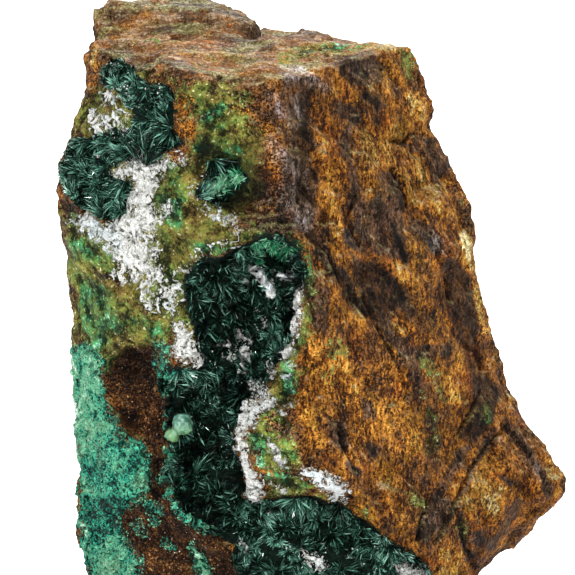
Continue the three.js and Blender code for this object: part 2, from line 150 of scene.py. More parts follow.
# How light the crystals are: (tone, shapes). Those not named are at CRYSTAL_TONE.
CRYSTAL_TONE = 0.3
CRYSTAL_TONES = [
    (0.2, [CENTRE_MAT]),
    (0.14, [area((101, 72), (112, 59), (134, 62), (176, 91), (187, 145), (150, 164), (131, 129),
                 (104, 84))]),
    (0.48, [area((60, 174), (63, 155), (72, 140), (110, 131), (131, 160), (131, 211), (101, 221),
                 (66, 193))]),
    (0.55, [LOWER_MAT]), (0.62, [HOLLOW_CROWN]),
    (1.3, [area((200, 184), (212, 176), (236, 170), (246, 176), (232, 188), (218, 198), (202, 198))]),
    (0.08, strokes(3, [(214, 164), (216, 176)], [(234, 164), (240, 170)])),
    (0.75, [
        stroke(7, (196, 262), (200, 292)),
        *strokes(5, [(104, 76), (128, 86)], [(180, 104), (172, 96)], [(212, 350), (222, 372)],
                 [(258, 520), (286, 524)], [(330, 520), (352, 530)]),
        *strokes(6, [(68, 146), (78, 160)], [(228, 500), (244, 518)]),
        *strokes(4, [(222, 268), (222, 282)], [(252, 314), (254, 330)], [(232, 440), (228, 460)]),
    ]),
    # Nearly black crystals: painted shade in the deepest places of the mats and their hollows.
    (0.02, [
        *strokes(5, [(80, 186), (84, 194)], [(108, 178), (112, 188)], [(106, 208), (112, 214)],
                 [(170, 134), (176, 142)], [(72, 170), (78, 182)], [(290, 530), (310, 540)],
                 [(196, 410), (204, 440)]),
        *strokes(4, [(94, 164), (98, 168)], [(134, 140), (130, 148)], [(146, 96), (150, 104)]),
        *strokes(8, [(291, 292), (290, 336)], [(206, 300), (230, 300)], [(240, 300), (262, 340)]),
        stroke(6, (208, 490), (222, 508)),
    ]),
]
# How long the crystals are as a share of the usual length: (share, shapes).
CRYSTAL_REACH = [
    (0.7, [SIDE_HEART]), (0.5, [HOLLOW_CROWN]),
    (0.75, [area((100, 60), (140, 66), (176, 92), (176, 112), (140, 108), (104, 86))]),
]
# Where crumbs of clay lie on the crystals.
CRUMBLY = [
    area((224, 304), (268, 296), (274, 330), (264, 378), (244, 384), (214, 352)),
    area((230, 266), (268, 264), (262, 284), (236, 282)),
    area((100, 62), (140, 70), (176, 92), (186, 146), (150, 154), (130, 128), (104, 84)),
    area((262, 506), (330, 520), (400, 560), (420, 590), (320, 590), (270, 560)),
]
# Where the crystals are mint green.
MINT_NEEDLES = [
    SIDE_HEART,
    area((248, 243), (262, 238), (276, 238), (286, 246), (288, 256), (278, 260), (268, 256), (256, 264),
         (250, 256)),
    stroke(4, (270, 250), (276, 262), (284, 274)), stroke(3, (286, 244), (294, 250)),
]

# The white clay of each node.
CLAY = {
    "clay_upper": [
        area((111, 173), (134, 153), (148, 160), (173, 154), (176, 165), (162, 174), (160, 184),
             (151, 198), (157, 212), (158, 223), (157, 238), (162, 264), (166, 277), (185, 282),
             (185, 294), (176, 315), (165, 315), (146, 309), (134, 284), (121, 287), (112, 281),
             (112, 259), (105, 248), (88, 238), (70, 226), (69, 218), (88, 211), (101, 224), (111, 222),
             (122, 215), (132, 212), (129, 198), (133, 186), (129, 179), (119, 181)),
        area((100, 91), (113, 90), (123, 101), (120, 106), (104, 104)),
        area((89, 113), (108, 114), (118, 108), (132, 114), (132, 127), (124, 134), (116, 126), (98, 133),
             (90, 124)),
        area((90, 151), (100, 150), (101, 158), (92, 160)),
        area((136, 152), (143, 151), (147, 160), (140, 162)),
        area((177, 152), (186, 154), (186, 165), (178, 164)),
        area((161, 203), (170, 201), (173, 214), (168, 219), (161, 217)),
        area((170, 322), (184, 324), (192, 334), (195, 349), (203, 362), (198, 366), (180, 362),
             (172, 352), (176, 340)),
        stroke(3, (197, 166), (203, 172), (199, 184), (194, 194)),
        area((196, 200), (206, 198), (216, 207), (228, 214), (236, 214), (242, 226), (240, 240),
             (230, 240), (232, 226), (214, 222), (204, 216), (196, 210)),
        stroke(3.5, (192, 262), (200, 251), (212, 247), (224, 243), (238, 243)),
        stroke(2.5, (236, 256), (238, 264)), stroke(2, (163, 276), (176, 272), (188, 268)),
    ],
    "clay_lip": [
        stroke(4, (252, 268), (262, 276), (268, 284), (274, 295)),
        stroke(3.5, (272, 274), (284, 277), (293, 275)),
        *strokes(3.2, [(299, 284), (298, 300), (298, 316), (295, 332)], [(226, 356), (236, 358)],
                 [(224, 342), (227, 344)], [(239, 278), (246, 284)]),
        stroke(3.8, (240, 334), (247, 341)), stroke(3.6, (240, 350), (249, 357), (243, 368)),
        stroke(3.4, (252, 384), (256, 388)), stroke(3, (262, 318), (266, 324)),
        stroke(2.8, (214, 400), (218, 402)),
        area((251, 386), (259, 380), (268, 393), (280, 402), (270, 410), (259, 414), (252, 425),
             (244, 440), (247, 455), (252, 470), (262, 485), (262, 500), (254, 504), (243, 496),
             (245, 482), (240, 460), (236, 440), (235, 430), (241, 418), (248, 402), (256, 398)),
        stroke(2.6, (286, 356), (291, 350)), stroke(2.5, (268, 366), (272, 374)),
        stroke(2.4, (266, 440), (276, 452), (284, 464)), stroke(2.2, (284, 376), (290, 364)),
        stroke(2, (276, 412), (290, 408)),
    ],
    "clay_shelf": [
        area((300, 466), (314, 468), (328, 470), (342, 480), (350, 491), (347, 503), (334, 501),
             (326, 492), (314, 484), (298, 474)),
        *strokes(2.5, [(272, 484), (284, 490)], [(268, 510), (274, 516)], [(242, 540), (246, 548)]),
        area((296, 551), (306, 548), (322, 556), (330, 566), (322, 574), (306, 566)),
        area((392, 566), (404, 562), (424, 568), (432, 576), (420, 584), (400, 578)),
    ],
}
EVERY_CLAY = [shape for shapes in CLAY.values() for shape in shapes]
TURQUOISE = [
    area((70, 352), (80, 346), (96, 350), (100, 362), (100, 382), (104, 396), (114, 410), (120, 430),
         (132, 440), (144, 448), (150, 462), (150, 486), (142, 500), (128, 508), (118, 516), (122, 530),
         (134, 548), (140, 560), (140, 600), (92, 604), (84, 560), (80, 510), (82, 470), (76, 440),
         (73, 400)),
]
# Mint rims between the crystals and the rusty hollow.
FLAKES = [
    stroke(3.5, (158, 344), (164, 350)), stroke(4.5, (160, 356), (163, 372), (164, 386), (169, 394)),
    *strokes(3, [(172, 374), (182, 372)], [(150, 506), (158, 512), (156, 522)], [(136, 528), (142, 538)]),
    stroke(3.2, (168, 450), (171, 458), (169, 467)),
    stroke(4, (162, 479), (172, 477), (182, 483), (187, 489)),
    stroke(3.8, (173, 496), (178, 508), (186, 517), (196, 523), (208, 529)),
    area((191, 547), (200, 552), (208, 562), (214, 576), (212, 590), (198, 590), (195, 568)),
    stroke(2.5, (166, 544), (172, 548)), stroke(2.4, (172, 404), (169, 414), (170, 424)),
    stroke(2.6, (188, 436), (190, 445)),
]
# The colour of the turquoise crust and its flakes: 0 deep teal, 0.5 turquoise, 1 mint, 1.4 white.
# Those not named are at CRUST_TONE.
CRUST_TONE = 0.5
CRUST_TONES = [
    (0.78, [area((66, 346), (100, 350), (104, 390), (118, 420), (96, 436), (76, 430), (70, 400))]),
    (0.72, [stroke(9, (88, 396), (106, 424)), stroke(6, (84, 440), (100, 446))]),
    (0.5, [area((84, 444), (120, 432), (148, 450), (150, 490), (132, 506), (96, 494), (84, 470))]),
    (0.12, [
        stroke(9, (104, 506), (110, 526)), stroke(4, (84, 462), (92, 470)),
        stroke(5, (118, 498), (124, 504)),
    ]),
    (0.72, [area((94, 540), (120, 536), (142, 560), (146, 590), (96, 596))]),
    # Painted highlights: a pale spot, and a whitish rim along the left edge of the crust.
    (1.2, [stroke(4, (83, 524), (86, 534))]),
    (1.2, [stroke(4, (72, 354), (74, 400), (78, 440), (79, 470))]),
    (0.8, [
        *strokes(7, [(158, 344), (168, 396)], [(162, 479), (190, 490)]), stroke(8, (173, 496), (208, 529)),
        stroke(14, (200, 556), (208, 586)),
    ]),
]

# The green film.
MOSS = [
    area((136, 64), (150, 68), (176, 84), (200, 84), (226, 82), (248, 96), (260, 116), (264, 150),
         (262, 190), (250, 210), (236, 226), (206, 258), (170, 284), (160, 264), (158, 230), (158, 200),
         (162, 176), (180, 160), (186, 140), (178, 110), (168, 90), (140, 80)),
    area((60, 206), (68, 226), (90, 240), (108, 250), (112, 280), (124, 290), (145, 312), (172, 318),
         (174, 340), (160, 348), (140, 352), (120, 362), (110, 384), (98, 366), (80, 350), (70, 350),
         (70, 300), (62, 260)),
    area((86, 94), (100, 92), (102, 112), (92, 138), (72, 142), (76, 120)),
    area((96, 88), (136, 84), (140, 130), (110, 140), (84, 136)),
    area((100, 150), (150, 150), (192, 164), (196, 262), (200, 330), (186, 352), (160, 330), (112, 290),
         (66, 236), (62, 204), (96, 224), (112, 180)),
    area((190, 244), (240, 212), (262, 236), (240, 250), (196, 262)),
    *strokes(4, [(258, 378), (250, 400), (238, 428), (236, 470), (244, 498)],
             [(296, 496), (330, 500), (352, 508), (372, 520)], [(128, 42), (160, 34)]),
    *strokes(5, [(262, 236), (292, 240), (305, 258), (308, 290), (304, 330), (292, 352)],
             [(286, 58), (326, 48), (372, 40)]),
    area((278, 362), (290, 356), (302, 370), (298, 392), (282, 410), (292, 436), (302, 456), (298, 470),
         (276, 474), (262, 468), (250, 450), (247, 436), (256, 420), (268, 408), (266, 392)),
    area((262, 472), (300, 474), (316, 486), (300, 500), (266, 500)),
    stroke(2.5, (424, 396), (430, 412), (436, 430), (431, 448)),
    *strokes(2, [(424, 360), (434, 376), (444, 398)], [(486, 410), (488, 418)]),
    stroke(1, (414, 494), (424, 506)), stroke(1.5, (461, 518), (465, 536)),
    area((402, 56), (410, 54), (415, 66), (412, 78), (406, 74)),
    stroke(3, (330, 380), (336, 350), (346, 352)),
]
# Rusty places that the film leaves bare.
BARE = [
    area((238, 96), (262, 94), (276, 104), (274, 130), (262, 132), (254, 124), (242, 110)),
    stroke(7, (180, 104), (186, 130)), stroke(6, (156, 78), (172, 88)),
    *strokes(4, [(132, 92), (142, 98)], [(240, 224), (256, 228)], [(288, 430), (298, 440)],
             [(270, 420), (276, 432)], [(80, 340), (84, 352)]),
    stroke(5, (250, 208), (262, 200)), stroke(3, (62, 236), (66, 246)),
]
# The colour of the green film: 0 brown, 0.25 olive, 0.5 grass green, 0.7 and 0.86 verdigris, 1 mint.
# Those not named are at FILM_TONE.
FILM_TONE = 0.38
FILM_TONES = [
    (0.15, [
        area((166, 226), (184, 224), (190, 250), (184, 264), (168, 262)),
        *strokes(8, [(262, 136), (262, 200)], [(130, 352), (150, 356)]),
        *strokes(6, [(96, 270), (112, 296)], [(72, 290), (76, 340)], [(184, 206), (194, 216)]),
        stroke(7, (120, 340), (124, 362)),
    ]),
    (0.6, [
        stroke(12, (206, 146), (230, 152)), *strokes(9, [(72, 244), (98, 262)], [(262, 462), (300, 482)]),
        *strokes(8, [(172, 164), (182, 196)], [(126, 322), (164, 330)], [(262, 240), (300, 250)]),
        stroke(6, (306, 262), (306, 330)), stroke(7, (168, 200), (176, 220)),
    ]),
    (0.43, [SHELF_FILM]),
    (0.62, [area((82, 284), (112, 290), (122, 306), (112, 344), (92, 352), (78, 330), (78, 300))]),
    (0.8, [
        stroke(7, (284, 366), (292, 388)), stroke(6, (256, 440), (260, 462)),
        stroke(3, (196, 148), (208, 148)), stroke(2.5, (238, 150), (242, 152)),
        *strokes(4, [(78, 246), (88, 256)], [(196, 244), (228, 248)]),
    ]),
    (0.86, [
        *strokes(5, [(108, 318), (115, 322)], [(206, 116), (224, 104)]),
        *strokes(3, [(150, 330), (158, 332)], [(76, 244), (80, 242)], [(88, 350), (104, 342)],
                 [(174, 202), (178, 206)], [(288, 372), (292, 384)]),
        *strokes(4, [(268, 476), (284, 476)], [(340, 46), (366, 42)]),
    ]),
]
# Rusty hollows lined with small grains.
DRUSE = [
    area((104, 384), (112, 366), (130, 350), (156, 346), (160, 366), (158, 392), (168, 402), (164, 440),
         (166, 465), (160, 476), (150, 466), (146, 440), (128, 426), (118, 404)),
    area((128, 512), (146, 500), (160, 470), (170, 486), (180, 512), (200, 530), (218, 536), (232, 548),
         (240, 580), (240, 600), (140, 600), (136, 556), (120, 530)),
]
# The colour of the bare stone: 0 nearly black, 0.2 purple brown, 0.4 umber, 0.5 rust, 0.7 orange,
# 0.86 ochre, 1 tan.
STONE_TONES = [
    (0.66, [
        area((312, 96), (330, 84), (350, 92), (362, 100), (352, 106), (334, 100), (330, 112), (340, 128),
             (346, 136), (340, 150), (322, 152), (306, 142), (318, 132), (312, 112)),
        area((378, 56), (396, 50), (402, 66), (400, 84), (388, 88), (384, 70)),
        stroke(6, (304, 146), (322, 162)),
        area((318, 165), (334, 168), (346, 180), (348, 200), (344, 215), (346, 235), (336, 238),
             (324, 222), (318, 200)),
        area((296, 232), (310, 240), (326, 262), (330, 290), (318, 280), (306, 262)),
        area((322, 280), (336, 282), (350, 306), (358, 322), (340, 330), (326, 320)),
        area((296, 344), (320, 334), (350, 350), (356, 396), (330, 404), (300, 394)),
        *strokes(8, [(384, 366), (404, 384)], [(400, 404), (416, 446)], [(352, 400), (372, 440)],
                 [(384, 470), (400, 520)]),
        stroke(7, (440, 432), (452, 452)),
        *strokes(5, [(364, 170), (370, 184)], [(268, 130), (276, 190)], [(94, 56), (92, 92)]),
        *strokes(4, [(272, 82), (276, 100)], [(184, 106), (190, 130)]),
        area((512, 440), (532, 480), (540, 500), (524, 520), (500, 540), (512, 500), (506, 460)),
        stroke(9, (200, 60), (262, 70)),
    ]),
    (0.8, [
        area((360, 130), (376, 126), (400, 120), (412, 145), (424, 170), (436, 190), (446, 215),
             (440, 222), (424, 210), (410, 200), (400, 180), (392, 165), (376, 165), (362, 160)),
        area((408, 95), (428, 90), (438, 104), (432, 124), (412, 122)),
        *strokes(7, [(400, 326), (424, 344)], [(132, 36), (172, 30)]), stroke(9, (300, 396), (316, 440)),
        *strokes(6, [(446, 376), (456, 398)], [(448, 180), (456, 216)], [(330, 46), (372, 52)],
                 [(226, 100), (246, 130)]),
        area((476, 460), (500, 452), (506, 480), (496, 520), (480, 530), (462, 510), (468, 485)),
        area((438, 548), (466, 544), (474, 575), (466, 600), (430, 600)),
        *strokes(5, [(396, 262), (402, 280)], [(134, 92), (142, 100)], [(544, 440), (560, 490)]),
    ]),
    # Tan: partly the palest streaks of the stone, partly painted light: the pale strip along the right edge
    # is light from behind, and the pale edge at the top left and the stroke at the top of the crest are
    # painted highlights.
    (1.0, [
        area((462, 238), (473, 232), (478, 262), (484, 300), (491, 332), (484, 336), (474, 300),
             (466, 262)),
        *strokes(3, [(96, 44), (94, 60)], [(140, 42), (158, 35)], [(232, 104), (246, 112)],
                 [(184, 100), (200, 92)]),
        *strokes(5, [(344, 44), (368, 44), (392, 48)], [(300, 48), (330, 46)],
                 [(464, 240), (474, 262), (480, 300), (488, 334)]),
        *strokes(4, [(284, 66), (300, 70)], [(484, 500), (494, 512)]), stroke(2.5, (352, 384), (356, 394)),
        stroke(2, (344, 352), (347, 356)),
    ]),
    (0.2, [
        area((330, 415), (346, 424), (352, 440), (350, 455), (336, 452), (328, 432)),
        area((278, 72), (296, 74), (320, 76), (312, 90), (308, 110), (312, 130), (318, 150), (310, 150),
             (316, 175), (320, 190), (318, 210), (310, 225), (296, 230), (280, 222), (276, 205),
             (280, 180), (288, 160), (292, 140), (288, 120), (284, 100)),
        *strokes(5, [(298, 222), (312, 236), (328, 252), (336, 272), (352, 296), (364, 312)],
                 [(350, 128), (346, 150), (354, 172), (356, 190)], [(452, 190), (462, 206), (470, 222)],
                 [(464, 450), (450, 472), (440, 492), (428, 512), (421, 536)], [(478, 536), (492, 544)],
                 [(100, 58), (128, 54)], [(402, 340), (420, 390)], [(338, 60), (372, 54)]),
        area((340, 66), (360, 56), (376, 58), (386, 72), (384, 84), (366, 88), (352, 86), (344, 78)),
        area((334, 100), (346, 104), (362, 108), (364, 124), (350, 128), (338, 114)),
        area((378, 172), (392, 172), (402, 185), (406, 205), (402, 215), (390, 205), (380, 190)),
        area((354, 192), (366, 200), (380, 205), (396, 208), (408, 222), (404, 246), (398, 262),
             (384, 258), (372, 250), (362, 236), (352, 225), (350, 205)),
        area((410, 214), (424, 220), (438, 232), (444, 246), (438, 256), (426, 246), (414, 234)),
        area((412, 134), (436, 138), (450, 160), (454, 175), (444, 176), (440, 190), (430, 170),
             (416, 148)),
        area((308, 270), (320, 274), (328, 290), (330, 310), (328, 330), (316, 330), (308, 312)),
        area((352, 258), (372, 262), (392, 276), (404, 292), (410, 306), (396, 312), (392, 330),
             (378, 330), (366, 316), (362, 296), (352, 280)),
        area((444, 260), (460, 262), (474, 290), (480, 330), (470, 345), (455, 335), (446, 310)),
        *strokes(6, [(424, 352), (446, 352)], [(368, 406), (370, 414)], [(248, 226), (290, 228)]),
        area((468, 345), (478, 370), (492, 380), (502, 395), (494, 420), (482, 436), (468, 446),
             (458, 430), (476, 405), (474, 380)),
        area((426, 505), (444, 498), (456, 510), (440, 530), (424, 545), (418, 530)),
        *strokes(4, [(508, 428), (524, 446), (534, 462), (544, 476), (550, 492)],
                 [(516, 500), (506, 530), (490, 545)], [(160, 60), (190, 70)], [(384, 330), (404, 352)],
                 [(68, 280), (76, 340)], [(222, 36), (262, 44)]),
    ]),
    # Painted highlights along the crest.
    (0.62, [stroke(2.5, (273, 128), (277, 156), (282, 186)), stroke(2, (290, 210), (294, 224))]),
    (0.02, [
        area((290, 88), (308, 92), (306, 118), (316, 140), (302, 136), (294, 112)),
        *strokes(4, [(366, 94), (380, 104)], [(346, 230), (362, 246)], [(382, 200), (404, 258)],
                 [(372, 446), (374, 452)], [(350, 466), (356, 470)], [(426, 236), (436, 250)]),
        *strokes(3, [(438, 440), (442, 444)], [(502, 476), (512, 482)], [(404, 142), (414, 150)],
                 [(280, 220), (306, 222)], [(318, 250), (334, 274)], [(340, 272), (362, 310)]),
        stroke(2, (492, 442), (476, 462), (466, 480), (458, 500), (448, 524), (438, 542)),
        stroke(2.6, (459, 514), (464, 532), (468, 548), (476, 570)), stroke(2.5, (360, 300), (372, 312)),
    ]),
]
# Deep places that no light reaches. The stone is pushed in there, and the list below paints them darker as
# painted shade.
SHADE = [
    area((284, 270), (296, 272), (296, 300), (294, 332), (284, 350), (276, 330), (282, 300)),
    area((252, 262), (268, 266), (268, 274), (254, 270)), stroke(2.5, (118, 368), (150, 371)),
    stroke(4, (134, 448), (142, 456)), stroke(3, (150, 486), (158, 494)),
]
# Dark places of the surface, up to 1, and light ones, down to -1: (share, shapes). Partly the own darker and
# lighter places of the stone and the film, partly painted light: painted highlights on the crest, painted
# shade on its right flank, painted shadows under ledges and rims, and the deep places of SHADE in full
# painted shade.
DARKNESS_AND_PAINTED_LIGHT = [
    # Painted highlights on the crest and its left flank.
    (-0.7, [
        *strokes(2.5, [(269, 92), (276, 104), (281, 118)], [(286, 196), (294, 210)]),
        *strokes(2, [(288, 108), (291, 130), (289, 150)], [(306, 202), (310, 212)]),
        stroke(4, (288, 68), (308, 72)),
    ]),
    # The first area is painted shade on the right flank of the crest.
    (0.35, [
        area((282, 76), (318, 82), (312, 110), (318, 150), (318, 190), (316, 214), (300, 214), (292, 150),
             (288, 116)),
        stroke(6, (368, 250), (392, 300)), *strokes(5, [(336, 62), (376, 60)], [(440, 290), (462, 330)]),
        stroke(4, (334, 106), (360, 124)),
    ]),
    (0.22, [
        area((500, 440), (540, 490), (520, 530), (480, 540), (462, 510), (480, 460)),
        area((306, 96), (340, 110), (350, 160), (350, 230), (334, 240), (318, 200), (306, 150)),
    ]),
    (0.2, [area((346, 118), (400, 112), (440, 170), (450, 226), (420, 224), (370, 176))]),
    (0.55, [area((462, 340), (480, 346), (494, 380), (503, 396), (494, 424), (476, 446), (456, 432),
                 (470, 396))]),
    (0.5, [
        area((444, 262), (460, 262), (474, 290), (480, 330), (470, 345), (455, 335), (446, 310)),
        area((356, 260), (372, 262), (392, 276), (406, 292), (396, 312), (378, 326), (366, 316),
             (362, 296)),
    ]),
    # Painted shade, chiefly on the right flank of the crest.
    (0.6, [
        area((286, 82), (300, 84), (314, 92), (308, 112), (314, 138), (304, 138), (294, 116)),
        *strokes(3, [(302, 150), (310, 180)], [(366, 92), (380, 104)]),
    ]),
    (-0.9, [SHELF_FILM]),
    # Lighter places of the film and the stone; the last stroke, along the right edge, is painted light from
    # behind.
    (-0.5, [
        *strokes(8, [(176, 164), (190, 198)], [(268, 468), (300, 478)], [(200, 110), (216, 116)]),
        *strokes(7, [(284, 366), (296, 392)], [(200, 96), (224, 104)]),
        stroke(5, (466, 240), (478, 280), (488, 334)),
    ]),
    (-0.3, [
        area((300, 345), (340, 334), (360, 360), (400, 350), (420, 420), (410, 460), (340, 470),
             (306, 440)),
        stroke(6, (330, 170), (336, 230)),
    ]),
    # The first area is a darker patch of the film; the rest is painted shadow under ledges and beside the
    # rim of the turquoise crust.
    (0.4, [
        area((190, 134), (204, 128), (228, 146), (262, 150), (270, 176), (262, 206), (246, 186),
             (230, 164), (204, 160)),
        area((116, 366), (150, 362), (160, 372), (154, 400), (124, 404)),
        stroke(8, (120, 350), (150, 356)),
        area((112, 402), (134, 400), (142, 422), (138, 444), (122, 432)),
    ]),
    (-0.35, [area((190, 84), (226, 82), (248, 96), (260, 116), (262, 134), (228, 146), (200, 128),
                  (186, 110))]),
    (-0.2, [area((60, 206), (90, 240), (108, 250), (124, 290), (145, 312), (172, 318), (160, 346),
                 (80, 350), (66, 300))]),
    (-0.35, [area((60, 120), (74, 112), (80, 96), (96, 84), (92, 110), (78, 138), (64, 150))]),
    (0.35, [stroke(4, (298, 92), (300, 120), (308, 146)), stroke(3, (324, 200), (323, 236))]),
    # Painted shade at the lower right of the side cluster of crystals, and painted shadow in the rusty
    # hollow beside the turquoise crust.
    (0.8, [
        area((222, 196), (240, 186), (242, 172), (252, 160), (268, 168), (264, 192), (248, 208),
             (232, 216), (218, 210)),
        *strokes(3, [(206, 134), (209, 144)], [(204, 148), (206, 154)]), stroke(5, (122, 410), (128, 434)),
    ]),
    # The deep places, painted in full shade.
    (1.0, SHADE),
]
# Painted sheen: grey streaks on the stone that stand in for its reflections, chiefly along the crest.
PAINTED_SHEEN = [
    area((286, 152), (300, 162), (314, 190), (316, 226), (300, 232), (286, 224), (280, 204), (282, 176)),
    *strokes(5, [(290, 78), (312, 80), (324, 88)], [(436, 236), (440, 250)]),
    *strokes(3.5, [(296, 100), (302, 124)], [(286, 108), (290, 130), (290, 150)]),
    *strokes(4, [(286, 180), (296, 214)], [(286, 70), (296, 68), (308, 74)],
             [(270, 92), (278, 104), (282, 118)], [(286, 154), (284, 176)], [(290, 214), (300, 226)],
             [(304, 200), (310, 214)]),
    *strokes(3, [(272, 140), (276, 160)], [(140, 42), (156, 36)], [(222, 44), (232, 48)],
             [(398, 150), (404, 162)], [(256, 200), (268, 196)], [(530, 462), (540, 476)]),
    stroke(7, (280, 192), (294, 208)),
]
# Where the stone stands up between its left and right faces.
CREST = [
    stroke(4, (287, 76), (287, 104), (290, 134), (302, 160), (316, 190), (318, 226)),
    stroke(3, (278, 96), (282, 130), (290, 160), (298, 196)),
]
# Cracks and seams cut into the stone.
GROOVES = [
    stroke(2.2, (502, 432), (490, 446), (476, 462), (466, 480), (458, 500), (448, 524), (438, 542)),
    stroke(2.4, (457, 510), (464, 532), (468, 548), (476, 570)),
    stroke(2.6, (504, 424), (516, 436), (526, 450), (534, 462), (544, 476), (550, 492)),
    *strokes(2, [(300, 222), (314, 238), (330, 254), (340, 274), (354, 298), (368, 318)],
             [(358, 196), (350, 222), (362, 246)], [(392, 170), (404, 186), (410, 206)],
             [(468, 346), (478, 352), (484, 370)], [(262, 222), (282, 224), (298, 220)]),
    *strokes(1.8, [(326, 414), (340, 426), (346, 450), (356, 470)], [(412, 134), (404, 144), (394, 140)],
             [(364, 296), (380, 330), (398, 362), (412, 396)], [(436, 250), (446, 276), (452, 300)],
             [(430, 500), (422, 520), (418, 540)]),
    *strokes(1.6, [(304, 344), (310, 372), (320, 396)], [(480, 392), (470, 414), (456, 436)],
             [(238, 212), (250, 210), (262, 214)]),
]
# How much the clay is a net of threads, from 0 to 1: (share, shapes). Those not named are at CLAY_NET.
CLAY_NET = 0.38
CLAY_NETS = [
    (0.08, [
        area((134, 164), (156, 162), (152, 200), (156, 232), (132, 232), (128, 214)),
        area((174, 326), (188, 332), (196, 360), (178, 356)), stroke(6, (118, 168), (132, 174)),
        *strokes(8, [(96, 226), (120, 230)], [(128, 252), (146, 268)]), stroke(4, (244, 432), (254, 492)),
        area((250, 262), (276, 262), (282, 300), (262, 300)),
    ]),
    (0.3, [area((206, 300), (250, 300), (282, 310), (274, 380), (206, 410))]),
    (0.88, [
        area((132, 284), (150, 272), (186, 278), (188, 300), (176, 318), (150, 314)),
        area((146, 236), (162, 236), (160, 262), (150, 262)),
        *strokes(7, [(74, 224), (84, 232)], [(196, 168), (200, 190)], [(112, 262), (128, 286)]),
        stroke(9, (104, 122), (128, 118)),
        *strokes(8, [(102, 92), (120, 104)], [(200, 204), (216, 216)], [(194, 258), (236, 242)]),
        *strokes(4, [(266, 440), (284, 464)], [(284, 376), (290, 364)], [(276, 412), (290, 408)]),
    ]),
]
# How far the clay stands off the stone in mm: (height, shapes). Those not named are at CLAY_THICKNESS.
CLAY_THICKNESS = {"clay_upper": 0.26, "clay_lip": 0.55, "clay_shelf": 0.26}
CLAY_LUMP = 0.12  # mm
CLAY_RISES = [(1.1, [HOLLOW])]
# How white the clay is: (tone, shapes). Those not named are at CLAY_TONE.
CLAY_TONE = 0.8
CLAY_TONES = [
    # The clay of HOLLOW is painted whiter: painted light against the shade that falls in the hollow. The
    # other places are whiter clay.
    (1.2, [
        HOLLOW, area((296, 462), (330, 464), (356, 484), (350, 506), (320, 500)),
        area((88, 88), (126, 86), (134, 134), (86, 136)),
        area((284, 546), (334, 546), (334, 580), (290, 580)),
    ]),
]
# Long sprays of crystals: the foot in the front view, the length in mm, the way they point there and how
# wide they open.
LONG_SPRAYS = {
    "atacamite_upper": [
        ((146, 168), 5.2, (-0.25, -1), 0.5), ((147, 166), 4.6, (0.3, -1), 0.35),
        ((152, 153), 3.0, (1, -0.4), 0.3), ((157, 136), 3.2, (0.3, -1), 0.45),
        ((103, 212), 3.0, (0.3, -1), 0.7), ((101, 212), 2.8, (-1, -0.5), 0.6),
        ((76, 194), 3.0, (-0.2, -1), 0.5), ((128, 150), 2.6, (-1, -0.1), 0.4),
        ((112, 142), 2.6, (-1, 0.1), 0.4), ((110, 86), 2.2, (0.2, -1), 0.6),
        ((136, 100), 2.6, (0.4, -1), 0.5), ((172, 100), 2.2, (-0.6, -0.6), 0.5),
        ((120, 185), 2.2, (-1, 0.6), 0.5), ((90, 176), 2.6, (-0.5, -1), 0.5),
    ],
    "atacamite_side": [
        ((212, 192), 1.5, (-0.7, -0.6), 1.0), ((224, 186), 1.6, (0.1, -1), 1.0),
        ((238, 180), 1.5, (0.9, -0.3), 1.0),
    ],
    "atacamite_centre": [
        ((216, 494), 3.0, (0, -1), 0.8), ((214, 492), 2.8, (-1, -0.4), 0.6),
        ((220, 492), 2.8, (1, -0.5), 0.6), ((172, 392), 3.2, (1, -0.25), 0.35),
        ((176, 380), 3.0, (1, -0.3), 0.3), ((226, 300), 2.6, (0.4, -1), 0.6),
        ((204, 292), 2.4, (-0.2, -1), 0.6), ((196, 470), 2.8, (0.6, -1), 0.5),
        ((250, 372), 2.4, (-0.8, -1), 0.5), ((206, 448), 2.6, (0.2, -1), 0.5),
        ((236, 520), 2.4, (0.4, -1), 0.6),
    ],
    "atacamite_lower": [
        ((262, 520), 2.2, (0.6, -1), 0.7), ((300, 530), 2.4, (-0.6, -1), 0.7),
        ((352, 556), 2.6, (0.3, -1), 0.7), ((330, 516), 2.0, (1, -0.3), 0.6),
        ((384, 560), 2.2, (-0.4, -1), 0.7),
    ],
}


def signed_distance(uv, shape):
    """How many points of the front view uv lies inside a shape, and below 0 outside it."""
    kind, radius, path = shape
    corners = np.array(path, float)
    ends = np.roll(corners, -1, axis=0) if kind == "area" else corners[1:]
    nearest = np.full(len(uv), np.inf)
    inside = np.zeros(len(uv), bool)
    for a, b in zip(corners, ends):
        along = b - a
        share = np.clip(((uv - a) @ along) / max(along @ along, 1e-9), 0, 1)
        nearest = np.minimum(nearest, np.linalg.norm(uv - a - share[:, None] * along, axis=1))
        if kind == "area":
            crosses = (a[1] > uv[:, 1]) != (b[1] > uv[:, 1])
            rise = b[1] - a[1] if b[1] != a[1] else 1e-9
            inside ^= crosses & (uv[:, 0] < a[0] + (uv[:, 1] - a[1]) / rise * (b[0] - a[0]))
    return np.where(inside, nearest, -nearest) if kind == "area" else radius - nearest


def inside_any(uv, shapes):
    """How far uv lies inside the nearest of some shapes, and below 0 outside them all."""
    return np.max([signed_distance(uv, shape) for shape in shapes], axis=0)


def toned(uv, start, tones, reach=4.0, share=0.9):
    """start, turned by a share towards the tone of each list of shapes where uv lies in them."""
    for tone, shapes in tones:
        weight = share * smoothed(0.5 + inside_any(uv, shapes) / (2 * reach))
        start = start + (tone - start) * weight
    return start


